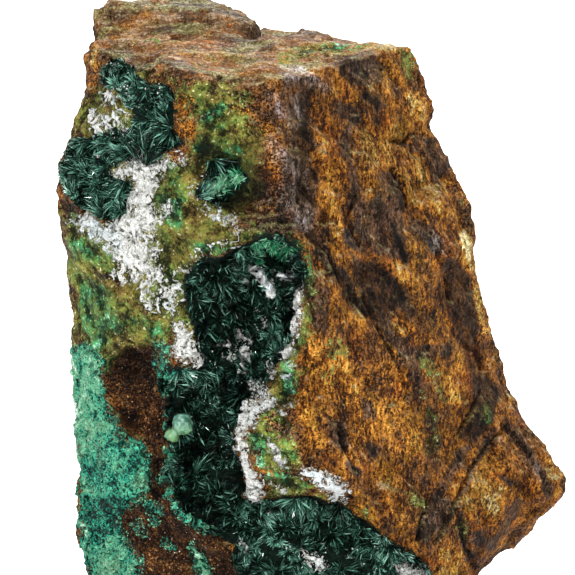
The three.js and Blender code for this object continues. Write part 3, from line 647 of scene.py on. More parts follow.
# ---- Noise -------------------------------------------------------------------
def scattered(cells, seed):
    """A value from 0 to 1 for each cell."""
    i, j, k = (cells[..., n].astype(np.int64) for n in range(3))
    h = (i * 374761393 + j * 668265263 + k * 1440662683 + seed * 1274126177) & 0xFFFFFFFF
    h = ((h ^ (h >> 13)) * 1274126177) & 0xFFFFFFFF
    return ((h ^ (h >> 16)) & 0xFFFFFF) / 0xFFFFFF


def noise(points, size, seed):
    """A value from -1 to 1 that varies over about size."""
    scaled = points / size
    cell = np.floor(scaled)
    t = scaled - cell
    t = t * t * (3 - 2 * t)
    total = np.zeros(len(points))
    for corner in range(8):
        step = np.array([corner & 1, (corner >> 1) & 1, corner >> 2])
        weight = np.prod(np.where(step, t, 1 - t), axis=1)
        total += weight * scattered(cell + step, seed)
    return total * 2 - 1


def layered(points, size, seed, layers=3):
    """Noise with finer noise on it."""
    return sum(noise(points, size / 2**n, seed + n) / 2**n for n in range(layers))


def fracture(points, size, seed):
    """The height of a broken surface: facets about size wide, each tilted and stepped its own way."""
    cell = np.floor(points / size)
    nearest = np.full(len(points), np.inf)
    height = np.zeros(len(points))
    for n in range(27):
        near = cell + np.array([n % 3, n // 3 % 3, n // 9]) - 1
        random = [scattered(near, seed + m) for m in range(7)]
        away = points - (near + np.stack(random[:3], axis=1)) * size
        distance = np.linalg.norm(away, axis=1)
        tilt = np.stack(random[3:6], axis=1) - 0.5
        closer = distance < nearest
        nearest = np.where(closer, distance, nearest)
        height = np.where(closer, (away * tilt).sum(axis=1) / size + (random[6] - 0.5), height)
    return height


def smoothed(t):
    """t held from 0 to 1, with soft ends."""
    t = np.clip(t, 0, 1)
    return t * t * (3 - 2 * t)


# ---- Meshes ------------------------------------------------------------------
def corner_normals(points, quads):
    """The normal at each point of a mesh of quads."""
    normals = np.zeros_like(points)
    face = np.cross(points[quads[:, 2]] - points[quads[:, 0]], points[quads[:, 3]] - points[quads[:, 1]])
    for k in range(4):
        for axis in range(3):
            normals[:, axis] += np.bincount(quads[:, k], face[:, axis], len(points))
    return normals / np.maximum(np.linalg.norm(normals, axis=1, keepdims=True), 1e-12)


def relaxed(points, quads, rounds):
    """The points made even with their neighbours, without drawing the mesh in."""
    ends = np.concatenate([quads[:, [k, (k + 1) % 4]] for k in range(4)])
    ends = np.concatenate([ends, ends[:, ::-1]])
    count = np.bincount(ends[:, 0], minlength=len(points))[:, None]
    for step in rounds * (0.5, -0.53):
        total = [np.bincount(ends[:, 0], points[ends[:, 1], axis], len(points)) for axis in range(3)]
        points = points + step * (np.stack(total, axis=1) / count - points)
    return points


def unit(vectors):
    return vectors / np.maximum(np.linalg.norm(vectors, axis=1, keepdims=True), 1e-9)


def sides_of(quads):
    """The two ends of each side of each quad, the lower first."""
    return np.sort(np.stack([quads, np.roll(quads, -1, axis=1)], axis=2).reshape(-1, 2), axis=1)


def quartered(quads, values):
    """Each quad as four. values are arrays with a row for each point, and come back longer."""
    count = len(values[0])
    edges, index = np.unique(sides_of(quads), axis=0, return_inverse=True)
    middle = count + index.reshape(-1, 4)
    centre = count + len(edges) + np.arange(len(quads))
    finer = [np.concatenate([a, a[edges].mean(axis=1), a[quads].mean(axis=1)]) for a in values]
    parts = [np.stack([quads[:, k], middle[:, k], centre, middle[:, k - 1]], axis=1) for k in range(4)]
    return np.concatenate(parts), finer


def rim_middles(quads):
    """The open sides of a mesh of quads: their ends, and the places of their middles after quartered."""
    edges, uses = np.unique(sides_of(quads), axis=0, return_counts=True)
    return edges[uses == 1], np.flatnonzero(uses == 1)


def only_used(faces, values):
    """The faces and the rows of values that they use."""
    used, index = np.unique(faces, return_inverse=True)
    return index.reshape(faces.shape), [a[used] for a in values]


def mesh_arrays(mesh):
    """The points in mm and the quads of a mesh that has only quads."""
    points = np.empty(len(mesh.vertices) * 3)
    mesh.vertices.foreach_get("co", points)
    quads = np.empty(len(mesh.polygons) * 4, int)
    mesh.polygons.foreach_get("vertices", quads)
    return points.reshape(-1, 3) / MM, quads.reshape(-1, 4)


def even_mesh(node, facet):
    """The solid of a node as an even mesh of quads, with sides about facet long."""
    block = bpy.data.objects.new("block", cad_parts[node].data.copy())
    bpy.context.scene.collection.objects.link(block)
    remesh = block.modifiers.new("even", "REMESH")
    remesh.mode = "VOXEL"
    remesh.voxel_size = facet
    even = bpy.data.meshes.new_from_object(block.evaluated_get(bpy.context.evaluated_depsgraph_get()))
    bpy.data.objects.remove(block)
    points, quads = mesh_arrays(even)
    bpy.data.meshes.remove(even)
    return points, quads


def add_piece(name, points, faces, material, attributes=(), smooth=True, normals=None):
    """A mesh object from points in mm, with float attributes, that rides on the one body."""
    mesh = bpy.data.meshes.new(name)
    faces = np.asarray(faces)
    width = faces.shape[1]
    mesh.vertices.add(len(points))
    mesh.vertices.foreach_set("co", (np.asarray(points) * MM).ravel())
    mesh.loops.add(faces.size)
    mesh.loops.foreach_set("vertex_index", faces.ravel())
    mesh.polygons.add(len(faces))
    mesh.polygons.foreach_set("loop_start", np.arange(len(faces)) * width)
    mesh.polygons.foreach_set("use_smooth", np.full(len(faces), smooth))
    mesh.update(calc_edges=True)
    if mesh.validate():
        raise RuntimeError(f"{name} has broken faces")
    for key, value in dict(attributes).items():
        mesh.attributes.new(key, "FLOAT", "POINT").data.foreach_set("value", value.astype(np.float32))
    if normals is not None:
        mesh.normals_split_custom_set_from_vertices(normals)
    mesh.materials.append(material)
    piece = bpy.data.objects.new(name, mesh)
    bpy.context.scene.collection.objects.link(piece)
    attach(piece, "root")
    return piece


# ---- The fine surface of the stone -------------------------------------------
GRAIN_ALONG = np.array([0.5, 0.3, -0.8])  # the way the grain of the right face runs
FRONT_DEPTH = 2.0  # mm: the stone is finer before this depth
PARTING = -1.0  # mm: where its front is parted into a left and a right piece
TOP_LEVEL = 61.0  # mm: what is above this counts as the top face
ON_FRONT = 0.3  # growths stand only where the mask of the front is above this
NOWHERE = -9.0  # how far inside a shape a place counts where nothing may grow
surface = {}


def in_box(points):
    return np.clip(points, BOX_LOW, BOX_HIGH)


def inside_film(uv):
    """How far uv lies inside the green film, without the bare places."""
    return np.minimum(inside_any(uv, MOSS), -inside_any(uv, BARE))


def stone_relief(points, uv, front, right):
    """How far the broken stone stands out in mm, broadly and finely, and 1 where a groove cuts it."""
    along = GRAIN_ALONG / np.linalg.norm(GRAIN_ALONG)
    grain = points - 0.7 * (points @ along)[:, None] * along
    level = points * np.array([0.45, 1, 1])
    back = smoothed((points[:, 1] - 2) / 5)
    broad = 0.16 * layered(points, 4, 11, 2) + fracture(points, 5.5, 31) * (0.12 + 0.4 * back) - 0.1
    broad += 0.22 * fracture(points, 2.1, 131) + right * 0.2 * fracture(grain, 1.6, 51)
    fine = 0.3 * right * layered(grain, 1.5, 41, 4) + 0.3 * (1 - right) * layered(level, 1.6, 21, 4)
    film = front * smoothed(0.5 + inside_film(uv) / 12)
    fine += film * (0.25 * layered(points, 1.7, 141, 3) + 0.1 * layered(points, 0.5, 151, 2))
    broad -= 0.4 * front * smoothed(inside_any(uv, EVERY_MAT) / 10)
    broad -= 1.1 * front * smoothed(inside_any(uv, SHADE) / 7 + 0.3)
    groove = front * smoothed(0.5 + (inside_any(uv, GROOVES) + layered(points, 0.8, 181, 2)) / 3)
    broad -= 0.5 * groove
    broad += 0.35 * front * smoothed(inside_any(uv, CREST) / 4)
    return broad, fine, groove


def stone_surface():
    """The stone as a mesh of quads, finer in front: points and normals in mm, places and masks."""
    if surface:
        return surface
    sizes = bpy.context.scene.specimen_stone
    points, quads = even_mesh("matrix", sizes.facet)
    points = relaxed(points, quads, 4)
    normals = corner_normals(points, quads)
    facing = points[quads].mean(axis=1)[:, 1] < FRONT_DEPTH
    ends, middles = rim_middles(quads[facing])
    middles += len(points)
    finer, (points, normals) = quartered(quads[facing], [points, normals])
    normals = unit(normals)
    uv = front_view(points)
    wavering = points[:, 1] + 1.5 * layered(points, 2.4, 201, 3)
    front = smoothed((0.5 - normals[:, 1]) / 0.35) * smoothed((4 - wavering) / 4)
    right = smoothed((uv[:, 0] - 266 - 0.06 * uv[:, 1]) / 20) * front
    raised = smoothed(points[:, 2] / 2.5)
    broad, fine, groove = stone_relief(points, uv, front, right)
    points = in_box(points + normals * ((broad + fine) * raised * sizes.relief)[:, None])
    # The middles of the finer part's rim stay on the straight sides of the coarser part.
    points[middles] = points[ends].mean(axis=1)
    whole = np.concatenate([finer, quads[~facing]])
    normals = corner_normals(points, whole)
    normals[middles] = unit(normals[ends].mean(axis=1))
    surface.update(points=points, quads=whole, normals=normals, front=front, right=right)
    surface.update(uv=front_view(points), split=len(finer))
    # The fine relief, lowest in pits and grooves: the materials paint these low places darker with it, as
    # painted shade.
    surface.update(height=np.clip(0.5 + 1.6 * fine - 0.7 * groove, 0, 1))
    level = smoothed((normals[:, 2] - 0.3) / 0.4)
    surface.update(top=np.maximum(level, smoothed((points[:, 2] - TOP_LEVEL) / 2)))
    return surface


def front_mask(inside, reach=6.0, wobble=2.5, seed=61):
    """From 0 outside to 1 inside, 0.5 at a wavering outline. inside is in points of the front view."""
    s = stone_surface()
    wave = wobble * (layered(s["points"], 0.9, seed, 2) + noise(s["points"], 2.6, seed + 5))
    return np.clip(0.5 + (inside + wave) / (2 * reach), 0, 1) * s["front"]


# ---- Shader helpers ----------------------------------------------------------
class Tree:
    """Adds nodes to a node tree. A value may be a number, a colour or another node's output."""

    def __init__(self, tree):
        self.tree = tree

    def plug(self, socket, value):
        if isinstance(value, bpy.types.NodeSocket):
            self.tree.links.new(value, socket)
        elif socket.type == "RGBA" and len(value) == 3:
            socket.default_value = (*value, 1)
        else:
            socket.default_value = value

    def vector(self, operation, **inputs):
        """A vector from a and b, or from a and a number, Scale."""
        given = {{"a": 0, "b": 1}.get(key, key): value for key, value in inputs.items()}
        return self.add("ShaderNodeVectorMath", given, operation=operation).outputs[0]

    def add(self, kind, inputs=(), **settings):
        node = self.tree.nodes.new(kind)
        for key, value in settings.items():
            setattr(node, key, value)
        for key, value in dict(inputs).items():
            self.plug(node.inputs[key], value)
        return node

    def math(self, operation, a, b=0.0):
        return self.add("ShaderNodeMath", {0: a, 1: b}, operation=operation).outputs[0]

    def sum(self, *terms):
        """The sum of values, each an output, a number or (value, factor, middle). The middle may be left
        out where it is 0.5."""
        total = 0.0
        for term in terms:
            if isinstance(term, tuple):
                value, factor, middle = (*term, 0.5)[:3]
                term = self.math("MULTIPLY", self.math("SUBTRACT", value, middle), factor)
            total = self.math("ADD", total, term)
        return total

    def product(self, *factors):
        total = factors[0]
        for factor in factors[1:]:
            total = self.math("MULTIPLY", total, factor)
        return total

    def held(self, value, low, high):
        """value, but no less than low and no more than high."""
        return self.math("MINIMUM", self.math("MAXIMUM", value, low), high)

    def blend(self, share, a, b):
        """a turned to b, both numbers, by share."""
        return self.math("ADD", a, self.math("MULTIPLY", share, self.math("SUBTRACT", b, a)))

    def grey(self, value):
        return self.add("ShaderNodeCombineColor", {0: value, 1: value, 2: value}).outputs[0]

    def mix(self, share, a, b, blend="MIX"):
        node = self.add("ShaderNodeMix", data_type="RGBA", blend_type=blend)
        for socket, value in zip((node.inputs[0], node.inputs[6], node.inputs[7]), (share, a, b)):
            self.plug(socket, value)
        return node.outputs[2]

    def attribute(self, name):
        return self.add("ShaderNodeAttribute", attribute_name=name).outputs["Fac"]

    def ramp(self, value, low, high, to_low=0.0, to_high=1.0):
        """value from low to high, as to_low to to_high, smoothly."""
        node = self.add("ShaderNodeMapRange", interpolation_type="SMOOTHSTEP")
        for socket, given in zip(node.inputs, (value, low, high, to_low, to_high)):
            self.plug(socket, given)
        return node.outputs[0]

    def colours(self, value, *stops):
        """The colour at value between stops, each (place, colour)."""
        node = self.add("ShaderNodeValToRGB", {0: value})
        elements = node.color_ramp.elements
        while len(elements) < len(stops):
            elements.new(1.0)
        for element, (place, given) in zip(elements, stops):
            element.position = place
            element.color = (*given, 1)
        return node.outputs[0]

    def place(self):
        return self.add("ShaderNodeTexCoord").outputs["Object"]

    def noise(self, where, size, detail=3.0, rough=0.6):
        """Noise from 0 to 1 with lumps about size mm wide."""
        inputs = {"Vector": where, "Scale": 0.5 / (size * MM), "Detail": detail, "Roughness": rough}
        return self.add("ShaderNodeTexNoise", inputs).outputs["Fac"]

    def stretched(self, where, scale, turn=(0.0, 0.0, 0.0)):
        """The place where, turned and scaled: a scale under 1 draws a pattern out that way."""
        inputs = {"Vector": where, "Rotation": turn, "Scale": scale}
        return self.add("ShaderNodeMapping", inputs).outputs[0]

    def bent(self, where, scale, reach):
        """The place where, moved by noise of a scale, by up to about a quarter of reach."""
        inputs = {"Vector": where, "Scale": scale, "Detail": 2.0}
        away = self.add("ShaderNodeTexNoise", inputs).outputs["Color"]
        away = self.vector("SUBTRACT", a=away, b=(0.5, 0.5, 0.5))
        return self.vector("ADD", a=where, b=self.vector("SCALE", a=away, Scale=reach))

    def group(self, name, **inputs):
        node = self.add("ShaderNodeGroup", node_tree=bpy.data.node_groups[name])
        for key, value in inputs.items():
            self.plug(node.inputs[key.replace("_", " ")], value)
        return node.outputs


def new_group(name, inputs, outputs):
    """A shader node group with named sockets, and its Tree, its inputs and its output node."""
    tree = bpy.data.node_groups.new(name, "ShaderNodeTree")
    for way, sockets in (("INPUT", inputs), ("OUTPUT", outputs)):
        for key, kind in sockets.items():
            tree.interface.new_socket(key, in_out=way, socket_type=kind)
    t = Tree(tree)
    return t, t.add("NodeGroupInput").outputs, t.add("NodeGroupOutput").inputs


FLOAT, VECTOR = "NodeSocketFloat", "NodeSocketVector"


def crumbs_group():
    """Crumbly grains Size mm wide: two values by grain, its dome, 1 in the middle, and finer noise."""
    sockets = {"Vector": VECTOR, "Size": FLOAT}
    t, given, out = new_group("Crumbs", sockets, {"A": FLOAT, "B": FLOAT, "Dome": FLOAT, "Noise": FLOAT})
    scale = t.math("DIVIDE", 1 / MM, given["Size"])
    half = t.math("MULTIPLY", scale, 0.5)
    where = t.bent(given["Vector"], half, t.math("DIVIDE", 1.6, scale))
    cells = t.add("ShaderNodeTexVoronoi", {"Vector": where, "Scale": scale}).outputs
    channels = t.add("ShaderNodeSeparateColor", {0: cells["Color"]}).outputs
    t.plug(out["A"], channels[0])
    t.plug(out["B"], channels[1])
    t.plug(out["Dome"], t.ramp(cells["Distance"], 0.7, 0.1))
    inputs = {"Vector": where, "Scale": half, "Detail": 4.0, "Roughness": 0.7}
    t.plug(out["Noise"], t.add("ShaderNodeTexNoise", inputs).outputs["Fac"])


def torn_edge_group():
    """A mask whose edge is torn: 0.5 of Value is where the edge runs, moved by Noise and by Grain."""
    sockets = {"Value": FLOAT, "Noise": FLOAT, "Tear": FLOAT, "Grain": FLOAT, "Scatter": FLOAT}
    t, given, out = new_group("Torn edge", sockets, {"Mask": FLOAT})
    moved = t.sum((given["Noise"], given["Tear"]), (given["Grain"], given["Scatter"]))
    moved = t.math("MULTIPLY", moved, t.ramp(given["Value"], 0.0, 0.35))
    t.plug(out["Mask"], t.ramp(t.math("ADD", given["Value"], moved), 0.45, 0.55))


def new_material(name, **constants):
    """A material with a Principled shader whose plain sockets are set, and its Tree and shader."""
    material = bpy.data.materials.new(name)
    material.use_nodes = True
    t = Tree(material.node_tree)
    shader = material.node_tree.nodes["Principled BSDF"]
    for key, value in constants.items():
        t.plug(shader.inputs[key.replace("_", " ")], value)
    return material, t, shader.inputs


def bump(t, height, distance, strength=1.0):
    """The normal of a surface whose height varies by distance mm."""
    inputs = {"Height": height, "Distance": distance * MM, "Strength": strength}
    return t.add("ShaderNodeBump", inputs).outputs["Normal"]


# ---- Materials ---------------------------------------------------------------
GRAIN_TURN = (-0.36, 0.56, 0.0)  # turns the grain of the right face upright


def stone_patterns(t):
    """The patterns that the colours of the stone share, by name."""
    where = t.place()
    right = t.attribute("right")
    flowing = t.bent(where, 0.05 / MM, 8 * MM)
    down = t.stretched(flowing, (1.0, 1.0, 0.35), GRAIN_TURN)
    flat = t.stretched(flowing, (0.35, 1.0, 1.0))
    fine = t.group("Crumbs", Vector=where, Size=0.17)
    crumb = t.group("Crumbs", Vector=where, Size=0.5)
    streak = t.group("Crumbs", Vector=down, Size=0.2)
    drawn = t.product(right, 0.55)
    return SimpleNamespace(
        fine=fine,
        crumb=crumb,
        speck=t.blend(drawn, fine["B"], streak["B"]),
        dust=t.blend(drawn, fine["Noise"], streak["Noise"]),
        fibre=t.blend(right, t.noise(flat, 1.0, 8, 0.7), t.noise(down, 1.1, 8, 0.7)),
        level=t.noise(flat, 0.45, 6, 0.7),
        straws=t.noise(flat, 1.3, 5),
        patch=t.noise(where, 1.7, 6, 0.7),
        hue=t.noise(where, 1.9, 6, 0.7),
        lumps=t.noise(where, 1.0, 5, 0.65),
        cracks=t.product(
            t.ramp(t.noise(down, 0.26, 5, 0.7), 0.57, 0.66, 1.0, 0.3),
            t.ramp(t.noise(down, 0.8, 6, 0.75), 0.56, 0.66, 1.0, 0.35),
        ),
        edges=t.ramp(crumb["Dome"], 0.0, 0.35, 0.75, 1.0),
        # How light the surface is painted: partly its own darker and lighter places, partly painted shade
        # and painted highlights.
        light=t.math("SUBTRACT", 1.0, t.product(t.attribute("dusk"), 0.9)),
        height=t.attribute("height"),
        top=t.attribute("top"),
    )


def stone_shading(t, p):
    """How light the stone is, 1 on the whole, from its patterns p."""
    # The term of height paints the low places and grooves of the relief darker, as painted shade; p.light
    # brings in the painted shade and highlights of the front view.
    shading = t.sum(
        0.95, (p.speck, 2.8), (p.dust, 6.4), (p.crumb["Noise"], 1.8), (p.height, 1.0),
        (p.fibre, 2.4),
    )
    shading = t.blend(t.product(p.top, 0.5), t.held(shading, 0.1, 2.6), t.sum(1.05, (p.level, 3.4)))
    return t.product(shading, p.edges, p.cracks, p.light)


def stone_colour(t, p, colours, shading):
    """The colour of the bare stone."""
    # The term of height paints low places of the relief a little darker, as shade.
    tone = t.sum(
        t.attribute("tone"), (p.fibre, 0.9), (p.patch, 0.5), (p.fine["A"], 0.14),
        (p.crumb["A"], 0.16), (p.height, 0.15),
    )
    colour = t.colours(
        tone, (0.0, colours.peat), (0.2, colours.goethite), (0.38, colours.umber), (0.52, colours.rust),
        (0.68, colours.limonite), (0.86, colours.ochre), (1.0, colours.tan),
    )
    colour = t.mix(t.product(t.ramp(p.hue, 0.52, 0.62), 0.6), colour, colours.olive, "MULTIPLY")
    colour = t.mix(t.product(t.ramp(p.hue, 0.46, 0.36), 0.5), colour, colours.red_earth, "MULTIPLY")
    # Pale patches on the top faces: partly their own colour, partly painted light from above.
    colour = t.mix(t.product(p.top, t.ramp(p.level, 0.46, 0.62, 0.05, 0.6)), colour, colours.pale_lit_top)
    colour = t.mix(t.product(p.top, t.ramp(p.straws, 0.5, 0.6, 0.0, 0.6)), colour, colours.straw)
    # Painted sheen, in grey streaks.
    sheen_mask = t.product(t.attribute("silver"), t.ramp(p.fibre, 0.4, 0.6, 0.0, 0.8))
    colour = t.mix(sheen_mask, colour, colours.silver)
    # Shadows of the stone are redder than its lights.
    green, blue = (t.math("POWER", shading, power) for power in (1.2, 1.6))
    warm = t.add("ShaderNodeCombineColor", {0: shading, 1: green, 2: blue}).outputs[0]
    return t.mix(1.0, colour, warm, "MULTIPLY")


def film_colour(t, p, colours):
    """The colour of the green film."""
    film = t.sum(
        t.attribute("film"), (p.hue, 1.5), (p.fine["A"], 0.14), (p.crumb["A"], 0.18),
    )
    film = t.colours(
        film, (0.0, colours.moss_brown), (0.25, colours.moss), (0.5, colours.moss_green),
        (0.7, colours.verdigris_deep), (0.86, colours.verdigris), (1.0, colours.mint_pale),
    )
    pale = t.product(t.ramp(p.fine["B"], 0.88, 0.96), t.ramp(p.crumb["Noise"], 0.48, 0.62), 0.7)
    film = t.mix(pale, film, colours.moss_pale)
    # How light the film is: its own patches, with painted shade in the low places of the relief from height,
    # and the painted shade and highlights of p.light.
    dark = t.sum(
        1.1, (p.crumb["Noise"], 4.8), (p.patch, 3.4), (p.lumps, 3.6), (p.height, 2.0),
        (p.fine["Noise"], 3.6), (p.fine["B"], 0.9),
    )
    dark = t.product(t.held(dark, 0.12, 2.1), p.edges, p.cracks, p.light)
    return t.mix(1.0, film, t.grey(dark), "MULTIPLY")


def druse_colour(t, p, colours, shading):
    """The colour of the lining of the rusty hollows."""
    lining = t.sum(0.34, (p.crumb["Noise"], 1.6), (p.fine["A"], 0.5), (p.patch, 1.4))
    druse = t.colours(
        lining, (0.0, colours.peat), (0.3, colours.druse_dark), (0.62, colours.druse),
        (0.98, colours.druse_glint),
    )
    return t.mix(1.0, druse, t.grey(shading), "MULTIPLY")


def stain_colour(t, p, colours, shading):
    """The colour of the stone where turquoise stains it."""
    teal = t.sum(0.4, (p.crumb["Noise"], 1.2), (p.fine["A"], 0.6))
    stain = t.colours(teal, (0.0, colours.teal_deep), (0.45, colours.teal), (0.8, colours.mint))
    return t.mix(1.0, stain, t.grey(shading), "MULTIPLY")


def ironstone_material():
    """Broken ironstone with its film, linings and stains, each where the attribute of its name says."""
    colours = bpy.context.scene.specimen_colours
    material, t, shader = new_material("broken ironstone", IOR=1.5, Specular_IOR_Level=0.14)
    p = stone_patterns(t)
    shading = stone_shading(t, p)

    def torn(name, tear, scatter):
        where = {"Value": t.attribute(name), "Noise": p.crumb["Noise"], "Grain": p.fine["A"]}
        return t.group("Torn edge", Tear=tear, Scatter=scatter, **where)["Mask"]

    colour = stone_colour(t, p, colours, shading)
    colour = t.mix(torn("moss", 1.9, 0.5), colour, film_colour(t, p, colours))
    colour = t.mix(torn("druse", 2.2, 0.7), colour, druse_colour(t, p, colours, shading))
    colour = t.mix(torn("turquoise", 2.2, 1.0), colour, stain_colour(t, p, colours, shading))
    # Under the crystals the stone is painted nearly black: painted shade among them.
    painted_shade_under_crystals = t.mix(p.fine["A"], colours.crystal_black, colours.crystal_deep)
    colour = t.mix(torn("mat", 1.2, 0.5), colour, painted_shade_under_crystals)
    clay_dust = t.mix(t.ramp(p.fine["B"], 0.1, 0.8), colours.clay_shadow, colours.clay)
    colour = t.mix(torn("clay", 2.2, 1.2), colour, clay_dust)

    t.plug(shader["Base Color"], colour)
    t.plug(shader["Roughness"], t.ramp(p.fine["Noise"], 0.35, 0.65, 0.4, 0.8))
    rise = t.sum(
        (p.fine["Dome"], 0.3, 0), (p.dust, 2.2, 0), (p.crumb["Dome"], 0.8, 0), (p.fibre, 3.0, 0),
        (p.crumb["Noise"], 1.4, 0), (p.cracks, 0.4, 0),
    )
    t.plug(shader["Normal"], bump(t, rise, 0.3))
    return material


def clay_material():
    """White clay: the attribute tone turns it from its dark pores to its whitest parts."""
    colours = bpy.context.scene.specimen_colours
    material, t, shader = new_material("white clay", IOR=1.45, Specular_IOR_Level=0.15)
    where = t.place()
    fine = t.group("Crumbs", Vector=where, Size=0.16)
    crumb = t.group("Crumbs", Vector=where, Size=0.34)
    tone = t.sum(
        t.attribute("tone"), (fine["Noise"], 1.5), (crumb["Noise"], 1.1), (fine["A"], 0.25),
    )
    pores = t.product(
        t.ramp(t.noise(where, 0.28, 5, 0.7), 0.56, 0.66, 1.0, 0.15),
        t.ramp(t.noise(where, 0.7, 5, 0.65), 0.55, 0.66, 1.0, 0.45),
    )
    tone = t.product(tone, t.ramp(crumb["Dome"], 0.0, 0.3, 0.7, 1.0), pores)
    colour = t.colours(
        tone, (0.1, colours.clay_pore), (0.36, colours.clay_shadow), (0.6, colours.clay),
        (0.82, colours.clay_light),
    )
    cool = t.ramp(t.noise(where, 3.2, 3), 0.48, 0.68, 0.0, 0.8)
    colour = t.mix(cool, colour, t.mix(1.0, colour, colours.clay_cool, "MULTIPLY"))
    t.plug(shader["Base Color"], colour)
    t.plug(shader["Roughness"], t.ramp(fine["Noise"], 0.3, 0.7, 0.95, 0.7))
    height = t.sum((fine["Dome"], 0.6, 0), (crumb["Dome"], 0.9, 0), (fine["Noise"], 0.9, 0))
    t.plug(shader["Normal"], bump(t, height, 0.18))
    return material


def crust_material():
    """Turquoise crust: the attribute tone turns it from deep teal at 0 to white at 1.4."""
    colours = bpy.context.scene.specimen_colours
    material, t, shader = new_material("turquoise grains", IOR=1.48, Specular_IOR_Level=0.2)
    where = t.place()
    fine = t.group("Crumbs", Vector=where, Size=0.14)
    crumb = t.group("Crumbs", Vector=where, Size=0.3)
    broad = t.noise(where, 1.6, 5, 0.65)
    tone = t.sum(
        t.attribute("tone"), (fine["A"], 0.3), (crumb["Noise"], 1.0), (broad, 1.9),
    )
    tone = t.math("DIVIDE", tone, 1.4)
    colour = t.colours(
        tone, (0.0, colours.teal_deep), (0.14, colours.teal), (0.36, colours.turquoise),
        (0.68, colours.mint), (0.88, colours.mint_pale), (1.0, colours.clay_light),
    )
    gaps = t.sum(
        (crumb["Dome"], 0.7, 0.0), (fine["Noise"], 1.8), (fine["Dome"], 0.3, 0.0), (tone, 0.9, 0.3),
    )
    colour = t.mix(t.ramp(gaps, 0.4, 0.08), colour, colours.teal_black)
    rusty = t.ramp(t.noise(where, 2.4, 6, 0.7), 0.57, 0.64, 0.0, 0.35)
    colour = t.mix(rusty, colour, colours.moss_brown)
    shading = t.sum(0.92, (fine["B"], 0.6), (fine["Noise"], 2.0), (crumb["Noise"], 1.2))
    t.plug(shader["Base Color"], t.mix(1.0, colour, t.grey(shading), "MULTIPLY"))
    t.plug(shader["Roughness"], t.ramp(fine["Noise"], 0.3, 0.7, 0.5, 0.85))
    height = t.sum(
        (fine["Dome"], 0.4, 0), (crumb["Dome"], 0.8, 0), (fine["Noise"], 0.8, 0), (broad, 2.0, 0),
    )
    t.plug(shader["Normal"], bump(t, height, 0.22))
    return material


def crystal_material():
    """Green crystals: the attribute tone turns each from near black to teal, and mint to light green."""
    colours = bpy.context.scene.specimen_colours
    material, t, shader = new_material(
        "green crystals", IOR=1.6, Specular_IOR_Level=0.06, Coat_IOR=1.8, Coat_Roughness=0.12,
        Coat_Tint=colours.crystal_shine,
    )
    stripes = t.noise(t.place(), 0.12, 2)
    tone = t.sum(t.attribute("tone"), (stripes, 0.5))
    colour = t.colours(
        tone, (0.0, colours.crystal_black), (0.28, colours.crystal_deep), (0.6, colours.crystal),
        (1.0, colours.crystal_light),
    )
    light = t.colours(
        tone, (0.0, colours.crystal_deep), (0.5, colours.crystal_mint), (1.0, colours.crystal_mint_pale)
    )
    colour = t.mix(t.attribute("mint"), colour, light)
    t.plug(shader["Base Color"], colour)
    dull = t.math("SUBTRACT", 1.0, t.product(t.attribute("mint"), 0.8))
    t.plug(shader["Coat Weight"], t.product(t.ramp(tone, 0.35, 0.9), dull))
    t.plug(shader["Roughness"], t.ramp(stripes, 0.3, 0.7, 0.2, 0.45))
    t.plug(shader["Normal"], bump(t, stripes, 0.03, 0.5))
    return material


BEAD_GREEN_TOP = 22.4  # mm above the base: the bead turns yellower from here down
BEAD_GREEN_BOTTOM = 19.8  # mm above the base: and is yellowest here


def bead_material():
    """The milky bead, painted darker towards its outline as shade, and yellower at its foot."""
    colours = bpy.context.scene.specimen_colours
    material, t, shader = new_material(
        "milky green bead", IOR=1.5, Subsurface_Weight=0.2, Subsurface_Scale=1.0 * MM
    )
    where = t.place()
    fine = t.group("Crumbs", Vector=where, Size=0.3)
    cloud = t.noise(where, 1.1, 4)
    tone = t.sum(cloud, (fine["Noise"], 1.1))
    colour = t.colours(tone, (0.3, colours.bead_black), (0.46, colours.bead_deep), (0.66, colours.bead))
    up = t.add("ShaderNodeSeparateXYZ", {0: where}).outputs[2]
    rise = t.sum(up, (fine["Noise"], 4 * MM, 0.5))
    low = t.ramp(rise, BEAD_GREEN_TOP * MM, BEAD_GREEN_BOTTOM * MM)
    colour = t.mix(t.math("MULTIPLY", low, 0.75), colour, colours.bead_green)
    # Painted shade towards the outline, by the angle of view.
    outline_shade = t.ramp(t.add("ShaderNodeLayerWeight").outputs["Facing"], 0.2, 0.8, 1.0, 0.35)
    t.plug(shader["Base Color"], t.mix(1.0, colour, t.grey(outline_shade), "MULTIPLY"))
    t.plug(shader["Roughness"], t.ramp(cloud, 0.3, 0.7, 0.18, 0.4))
    t.plug(shader["Normal"], bump(t, t.sum(cloud, (fine["Noise"], 0.5)), 0.12, 0.6))
    return material


def grain_material():
    """Glittering grains of the hollows: the attribute tone turns them from red brown to amber."""
    colours = bpy.context.scene.specimen_colours
    material, t, shader = new_material("druse grains", IOR=1.6, Specular_IOR_Level=0.5)
    colour = t.colours(
        t.attribute("tone"), (0.0, colours.peat), (0.4, colours.druse_dark), (0.85, colours.druse),
        (0.97, colours.druse_glint),
    )
    t.plug(shader["Base Color"], colour)
    t.plug(shader["Roughness"], t.ramp(t.noise(t.place(), 0.3), 0.3, 0.7, 0.15, 0.45))
    return material


def floor_material():
    """A white floor that glows a little for the camera alone, so that it stays white in shadow."""
    material, t, shader = new_material("studio floor", Roughness=0.9, Specular_IOR_Level=0.0)
    colour = t.mix(t.ramp(t.noise(t.place(), 40), 0.3, 0.7), (0.9, 0.9, 0.9), (0.93, 0.93, 0.93))
    t.plug(shader["Base Color"], colour)
    seen = t.add("ShaderNodeLightPath").outputs["Is Camera Ray"]
    shader["Emission Strength"].default_value = 1
    t.plug(shader["Emission Color"], t.mix(seen, (0.0, 0.0, 0.0), (0.6, 0.6, 0.6)))
    return material


